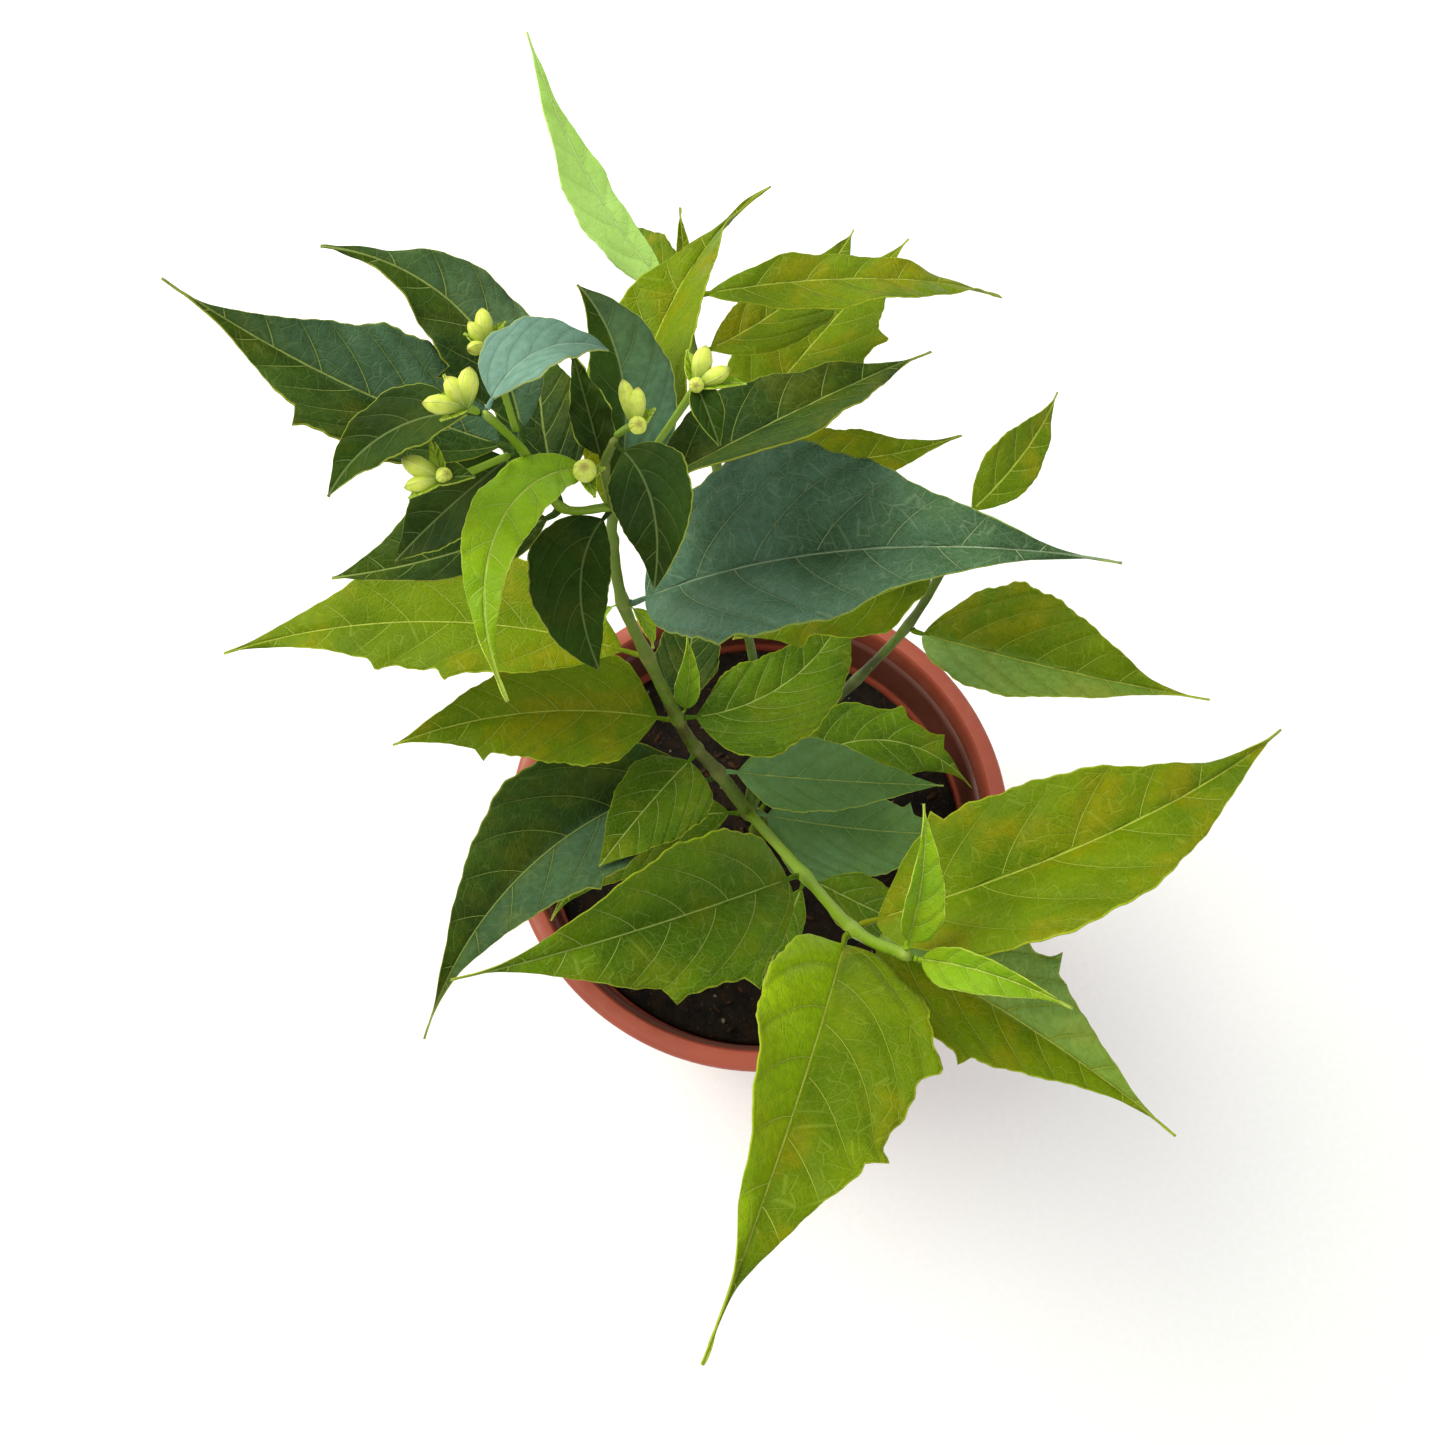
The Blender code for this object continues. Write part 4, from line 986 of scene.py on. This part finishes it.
def add_leaf(node, index, tops, undersides):
    """One leaf: its blade and the short petiole that holds it."""
    spec = LEAVES[node]
    long = spec["length"] > LONG_LEAF
    rows, columns = GRID_LONG if long else GRID_SHORT
    start = leaf_start(spec)
    wave = WAVY.get(node, PLAIN_WAVE)
    pairs = PAIRS_LONG if long else PAIRS_SHORT
    made = blade(
        node.replace("leaf", "foliage"), start, spec, rows, columns, PETIOLE * 0.6, wave, index, pairs,
        PAINTED_LIGHT_HALF.get(node, 0),
    )
    shares = np.array([0.0, PETIOLE * 0.5, PETIOLE * 0.9, PETIOLE + 0.03])
    centre, _, upward = blade_frames(start, spec, shares)
    inward = (Vector(NODES[spec["node"]]) - start).normalized() * 1.2
    below = np.array([0.0, 0.1, 0.35, 0.6])[:, None] * upward
    path = [start + inward] + [Vector(point) for point in centre - below]
    reach = min(1.0, spec["length"] / LONG_LEAF)
    stalk = rod(f"{made.name}_petiole", smooth_path(path, 3), np.linspace(1.15, 0.4, 13) * reach)
    # The petiole has the leaf's skin but none of its veins.
    count = len(stalk.data.vertices)
    add_vectors(stalk, "veins", np.tile([0.5, 0.4, 0.2], (count, 1)))
    add_vectors(stalk, "flat", np.tile([6 * MM, 0, 6 * MM], (count, 1)))
    add_vectors(stalk, "tint", np.zeros((count, 3)))
    finish = finish_of(node)
    made.data.materials.clear()
    join(made, [stalk])
    faces = made.data.polygons
    indices = np.zeros(len(faces), np.int32)
    faces.foreach_get("material_index", indices)
    settle(made, node, [tops[finish], undersides[finish]])
    faces.foreach_set("material_index", indices)
    return made


def add_stem(node, paint):
    """A stem with a swelling and a leaf scar at each leaf node."""
    names, start_radius, end_radius = STEMS[node]
    controls = [Vector(NODES[name]) for name in names]
    if node == "stem_main":
        controls[0] = Vector((0, 0, SOIL_TOP - 30))
    steps = 12
    path = smooth_path(controls, steps)
    radii = []
    for index in range(len(path)):
        share = index / (len(path) - 1)
        near = abs((index + steps / 2) % steps - steps / 2) / steps
        joint = 0.28 * math.exp(-(near / 0.11) ** 2) if steps / 2 < index < len(path) - 1 else 0.0
        uneven = 0.03 * math.sin(index * 1.7) + 0.03 * math.sin(index * 0.6 + 1)
        foot = 0.35 * max(0, 1 - index / (2 * steps)) if node == "stem_main" else 0
        radii.append((start_radius + (end_radius - start_radius) * share) * (1 + joint + uneven) * (1 + foot))
    made = rod(node.replace("stem", "shoot"), path, radii, 16)
    points = read_points(made) / MM
    scar = np.zeros(len(points))
    for name in names[2:]:
        ring = np.linalg.norm(points - np.array(NODES[name]), axis=1) - node_radius(name) * 1.2
        scar = np.maximum(scar, np.exp(-(ring / 1.1) ** 2))
    field = made.data.attributes.new("joint", "FLOAT", "POINT")
    field.data.foreach_set("value", scar.astype(np.float32))
    settle(made, node, [paint])
    return made


def bud(name, base, aim, rise, length, radius):
    """A closed bud: an ovoid with five soft ribs, a narrow foot and a small tip."""
    deselect_all()
    bpy.ops.mesh.primitive_uv_sphere_add(segments=30, ring_count=20, radius=1)
    made = bpy.context.object
    made.name = name
    points = read_points(made)
    share = np.clip((points[:, 2] + 1) / 2, 0, 1)
    turn = np.arctan2(points[:, 1], points[:, 0])
    around = np.linalg.norm(points[:, :2], axis=1)
    unit = points[:, :2] / np.maximum(around, 1e-6)[:, None]
    swell = np.interp(share, BUD_PLACES, BUD_SWELL)
    ribs = 1 + 0.05 * np.abs(np.cos(2.5 * turn)) * np.sin(np.pi * share)
    forward = direction(aim, rise)
    side = Vector((-math.sin(math.radians(aim)), math.cos(math.radians(aim)), 0))
    upward = forward.cross(side)
    span = (swell * ribs * radius)[:, None]
    placed = np.array(base) + span * (unit[:, :1] * np.array(side) + unit[:, 1:] * np.array(upward))
    placed = placed + (share * length)[:, None] * np.array(forward)
    write_points(made, placed * MM)
    add_vectors(made, "veins", np.stack([turn / (2 * np.pi) * 5, share, share], 1))
    close_up(made)
    smooth(made)
    return made


def bract(name, base, aim, rise, length, half, seed):
    """Small pointed leaf beside a bud, cupped round it."""
    spec = leaf("tip", "rounded", length, aim, rise, droop=18)
    spec["left"] = half
    spec["right"] = half
    spec["fold"] = 32
    return blade(name, base, spec, 24, 12, 0.0, 0.01, seed, 3)


def add_cluster(node, calyx, young, leafy, stalk_paint):
    """One flower cluster: its stalk, buds, young bracts, and the small grown leaf below some of them."""
    spec = CLUSTERS[node]
    path = smooth_path(spec["stalk"], 6)
    tip = path[-1]
    radii = [0.75 + 0.35 * (index / len(path)) ** 2 for index in range(len(path))]
    made = rod(node.replace("bud", "flower_bud"), path, radii)
    made.data.materials.append(stalk_paint)
    pieces = []
    for index, (length, radius, aim, rise) in enumerate(spec["buds"]):
        piece = bud(f"{node}_bud_{index}", tip - direction(aim, rise) * 0.6, aim, rise, length, radius)
        piece.data.materials.append(calyx)
        pieces.append(piece)
    for index, (length, half, aim, rise) in enumerate(spec["bracts"]):
        base = tip - direction(aim, rise) * 0.5 - Vector((0, 0, 0.3))
        piece = bract(f"{node}_bract_{index}", base, aim, rise, length, half, index)
        skin, back = leafy if half >= LEAFY_BRACT else young
        piece.data.materials.append(skin)
        piece.data.materials.append(back)
        pieces.append(piece)
    made = join(made, pieces)
    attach(made, "root")
    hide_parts(node)
    return made


def pot_profile():
    """Pot wall from the middle of its foot, up the outside, over the lip and down the inside."""
    foot = POT_HEIGHT - COLLAR_HEIGHT
    lip = RIM_RADIUS
    outside = [
        (0, 0), (30, 0), (30.7, 0.4), (31, 2), (56, 2), (56.3, 0.4), (57, 0), (66.5, 0), (67.8, 0.5),
        (68.5, 1.8), (89.3, foot - 3), (89.6, foot - 0.6), (90.2, foot), (95.6, foot + 0.3),
        (96.6, foot + 0.9), (97, foot + 2.5), (99.6, POT_HEIGHT - 5), (lip - 0.05, POT_HEIGHT - 3),
        (lip - 0.1, POT_HEIGHT - 1.8),
        (lip - 0.8, POT_HEIGHT - 0.7), (lip - 2, POT_HEIGHT - 0.1), (lip - 3.2, POT_HEIGHT),
    ]
    inside = [
        (lip - 5.6, POT_HEIGHT), (lip - 6.8, POT_HEIGHT - 0.3), (lip - 7.5, POT_HEIGHT - 1.2),
        (lip - 7.9, POT_HEIGHT - 3), (lip - 8.5, POT_HEIGHT - 9.4), (lip - 8.9, POT_HEIGHT - 10.6),
        (lip - 10.2, POT_HEIGHT - 11.3),
        (lip - 10.8, POT_HEIGHT - 12.4), (lip - 11.9, foot + 1), (WALL_TOP_RADIUS, foot - 2),
        (WALL_FOOT_RADIUS, FLOOR_TOP + WALL_FOOT_RISE),
        (65, FLOOR_TOP + 0.6), (63.5, FLOOR_TOP), (0, FLOOR_TOP),
    ]
    return outside + inside


def add_pot(paint):
    """The nursery pot, turned and then drilled."""
    made = turned("nursery_pot", pot_profile(), 168)
    for index in range(DRAIN_COUNT):
        angle = 2 * math.pi * index / DRAIN_COUNT + math.radians(DRAIN_TURN)
        place = (DRAIN_RING * math.cos(angle) * MM, DRAIN_RING * math.sin(angle) * MM, 2 * MM)
        deselect_all()
        bpy.ops.mesh.primitive_cylinder_add(
            vertices=32, radius=DRAIN_RADIUS * MM, depth=16 * MM, location=place,
        )
        drill = bpy.context.object
        cut = made.modifiers.new(f"drain_{index}", "BOOLEAN")
        cut.operation = "DIFFERENCE"
        cut.solver = "EXACT"
        cut.object = drill
        apply_modifiers(made)
        bpy.data.objects.remove(drill, do_unlink=True)
    make_active(made)
    bpy.ops.object.shade_smooth_by_angle(angle=math.radians(35))
    settle(made, "pot", [paint])
    return made


def wall_radius(height):
    """Inside radius of the pot at a height."""
    low = FLOOR_TOP + WALL_FOOT_RISE
    slope = (WALL_TOP_RADIUS - WALL_FOOT_RADIUS) / (POT_HEIGHT - COLLAR_HEIGHT - 2 - low)
    return WALL_FOOT_RADIUS + slope * (height - low)


def lumpy(radius, angle):
    """Height of the soil's uneven top."""
    level = 1.2 * np.sin(3 * angle + 0.06 * radius) + 0.9 * np.cos(5 * angle - 0.09 * radius)
    level = level + 0.5 * np.sin(0.9 * radius * np.cos(angle)) * np.cos(1.1 * radius * np.sin(angle) + 1)
    level = level + 0.35 * np.sin(1.9 * radius * np.sin(angle)) * np.sin(2.3 * radius * np.cos(angle))
    return SOIL_TOP + level


def add_soil(paint):
    """The potting mix, turned and then made lumpy on top."""
    edge = wall_radius(SOIL_TOP - 3) - 0.4
    top = [(radius, SOIL_TOP) for radius in np.linspace(0, edge - 1.0, 60)]
    under = [
        (edge, SOIL_TOP - 3), (wall_radius(40) - 0.4, 40), (65, FLOOR_TOP + 2.2), (63, FLOOR_TOP + 0.4),
        (0, FLOOR_TOP + 0.4),
    ]
    made = turned("potting_mix", top + under, 150)
    points = read_points(made) / MM
    radius = np.hypot(points[:, 0], points[:, 1])
    angle = np.arctan2(points[:, 1], points[:, 0])
    above = points[:, 2] > SOIL_TOP - 1
    points[above, 2] = lumpy(radius, angle)[above]
    write_points(made, points * MM)
    settle(made, "soil", [paint])
    return made


def add_crumbs(name, count, sizes, stretch, seed, paint):
    """Loose bits on the soil: one small crumb copied, each copy turned and sized its own way."""
    deselect_all()
    bpy.ops.mesh.primitive_ico_sphere_add(subdivisions=1, radius=1)
    first = bpy.context.object
    first.name = name
    first.data.materials.append(paint)
    base = read_points(first)
    base *= 1 + 0.18 * np.sin(base[:, [1, 2, 0]] * 5 + seed)
    crumbs = [first]
    for _ in range(count - 1):
        copy = bpy.data.objects.new(name, first.data.copy())
        bpy.context.scene.collection.objects.link(copy)
        crumbs.append(copy)
    chance = np.random.default_rng(seed)
    for crumb in crumbs:
        radius = (wall_radius(SOIL_TOP) - 5) * math.sqrt(chance.uniform(0.004, 1))
        angle = chance.uniform(0, 2 * math.pi)
        size = chance.uniform(*sizes)
        turn, _ = np.linalg.qr(chance.normal(size=(3, 3)))
        shaped = (base * np.array([1, stretch, stretch * 0.8]) * size) @ turn.T
        shaped[:, 2] *= 0.75
        height = float(lumpy(radius, angle)) + size * 0.2
        place = np.array([radius * math.cos(angle), radius * math.sin(angle), height])
        write_points(crumb, (shaped + place) * MM)
    made = join(first, crumbs[1:])
    close_up(made)
    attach(made, "root")
    return made


def add_camera():
    """Camera above and in front of the plant, looking down into the pot."""
    camera = bpy.data.cameras.new("camera")
    camera.sensor_width = 36
    camera.lens = 32.39
    camera.clip_start = 0.01
    made = bpy.data.objects.new("camera", camera)
    made.location = (-0.0147, -0.152, 0.6727)
    made.rotation_euler = (math.radians(20.98), 0, 0)
    bpy.context.scene.collection.objects.link(made)
    bpy.context.scene.camera = made


def add_light(name, place, aim_at, size, power, tint):
    """Soft round lamp aimed at a point."""
    lamp = bpy.data.lights.new(name, "AREA")
    lamp.shape = "DISK"
    lamp.size = size
    lamp.energy = power
    lamp.color = linear(tint)[:3]
    made = bpy.data.objects.new(name, lamp)
    made.location = place
    made.rotation_euler = (Vector(aim_at) - Vector(place)).to_track_quat("-Z", "Y").to_euler()
    bpy.context.scene.collection.objects.link(made)


def add_studio():
    """Plain pale floor, soft key light from the upper left, and an even pale surround."""
    deselect_all()
    bpy.ops.mesh.primitive_plane_add(size=6, location=(0, 0, -0.0005))
    floor = bpy.context.object
    floor.name = "studio_floor"
    floor.data.materials.append(board_paint())
    world = bpy.data.worlds.new("pale_surround")
    bpy.context.scene.world = world
    world.use_nodes = True
    world.node_tree.nodes["Background"].inputs["Color"].default_value = linear("#F7F8F6")
    world.node_tree.nodes["Background"].inputs["Strength"].default_value = 0.74
    middle = (0, 0, 0.3)
    add_light("key_light", (-1.0, 0.5, 1.5), middle, size=1.5, power=33, tint="#FFFDF0")
    add_light("fill_light", (1.0, -0.8, 1.3), middle, size=1.4, power=5, tint="#FAFBFF")
    bpy.context.scene.view_settings.view_transform = "Standard"


def main():
    """Builds the studio, the plant from its leaves to its buds, then the pot and what is in it."""
    add_camera()
    add_studio()
    tops = {name: leaf_paint(name, **values) for name, values in LEAF_FINISHES.items()}
    undersides = {name: underside_paint(f"{name}_underside", *codes) for name, codes in UNDERSIDES.items()}
    for index, node in enumerate(LEAVES):
        add_leaf(node, index, tops, undersides)
    bark = bark_paint("young_bark", "#5E7A04", "#50500F", "#8C8446", rough=0.62, green_height=0.33)
    shoot = bark_paint("green_shoot_skin", "#7C9C18", "#6E8818", "#A2B250", rough=0.5, green_height=0.2)
    # Painted shade: a darker copy of the shoot skin for the right and back stems, which stand in the leaves'
    # shade.
    shoot_painted_shade = bark_paint(
        "shoot_skin_painted_shade", "#58740E", "#414A14", "#7C8446", rough=0.58, green_height=0.33,
    )
    skins = {"stem_main": bark, "stem_right": shoot_painted_shade, "stem_back": shoot_painted_shade}
    for node in STEMS:
        add_stem(node, skins.get(node, shoot))
    young = (tops["new_leaf_lime"], undersides["new_leaf_lime"])
    leafy = (tops["small_mature_leaf"], undersides["small_mature_leaf"])
    calyx = bud_paint()
    for node in CLUSTERS:
        add_cluster(node, calyx, young, leafy, shoot)
    add_pot(pot_paint())
    add_soil(soil_paint("damp_potting_mix", "#0E0A05", "#201509", "#4A3A28"))
    composted_bark = soil_paint("composted_bark", "#24160B", "#3C2614", "#5A3E26")
    add_crumbs("bark_chips", count=240, sizes=(1.2, 3.6), stretch=0.4, seed=3, paint=composted_bark)
    mineral_grit = soil_paint("mineral_grit", "#4E4436", "#756A58", "#A09682")
    add_crumbs("grit", count=110, sizes=(0.5, 1.3), stretch=0.8, seed=5, paint=mineral_grit)


main()
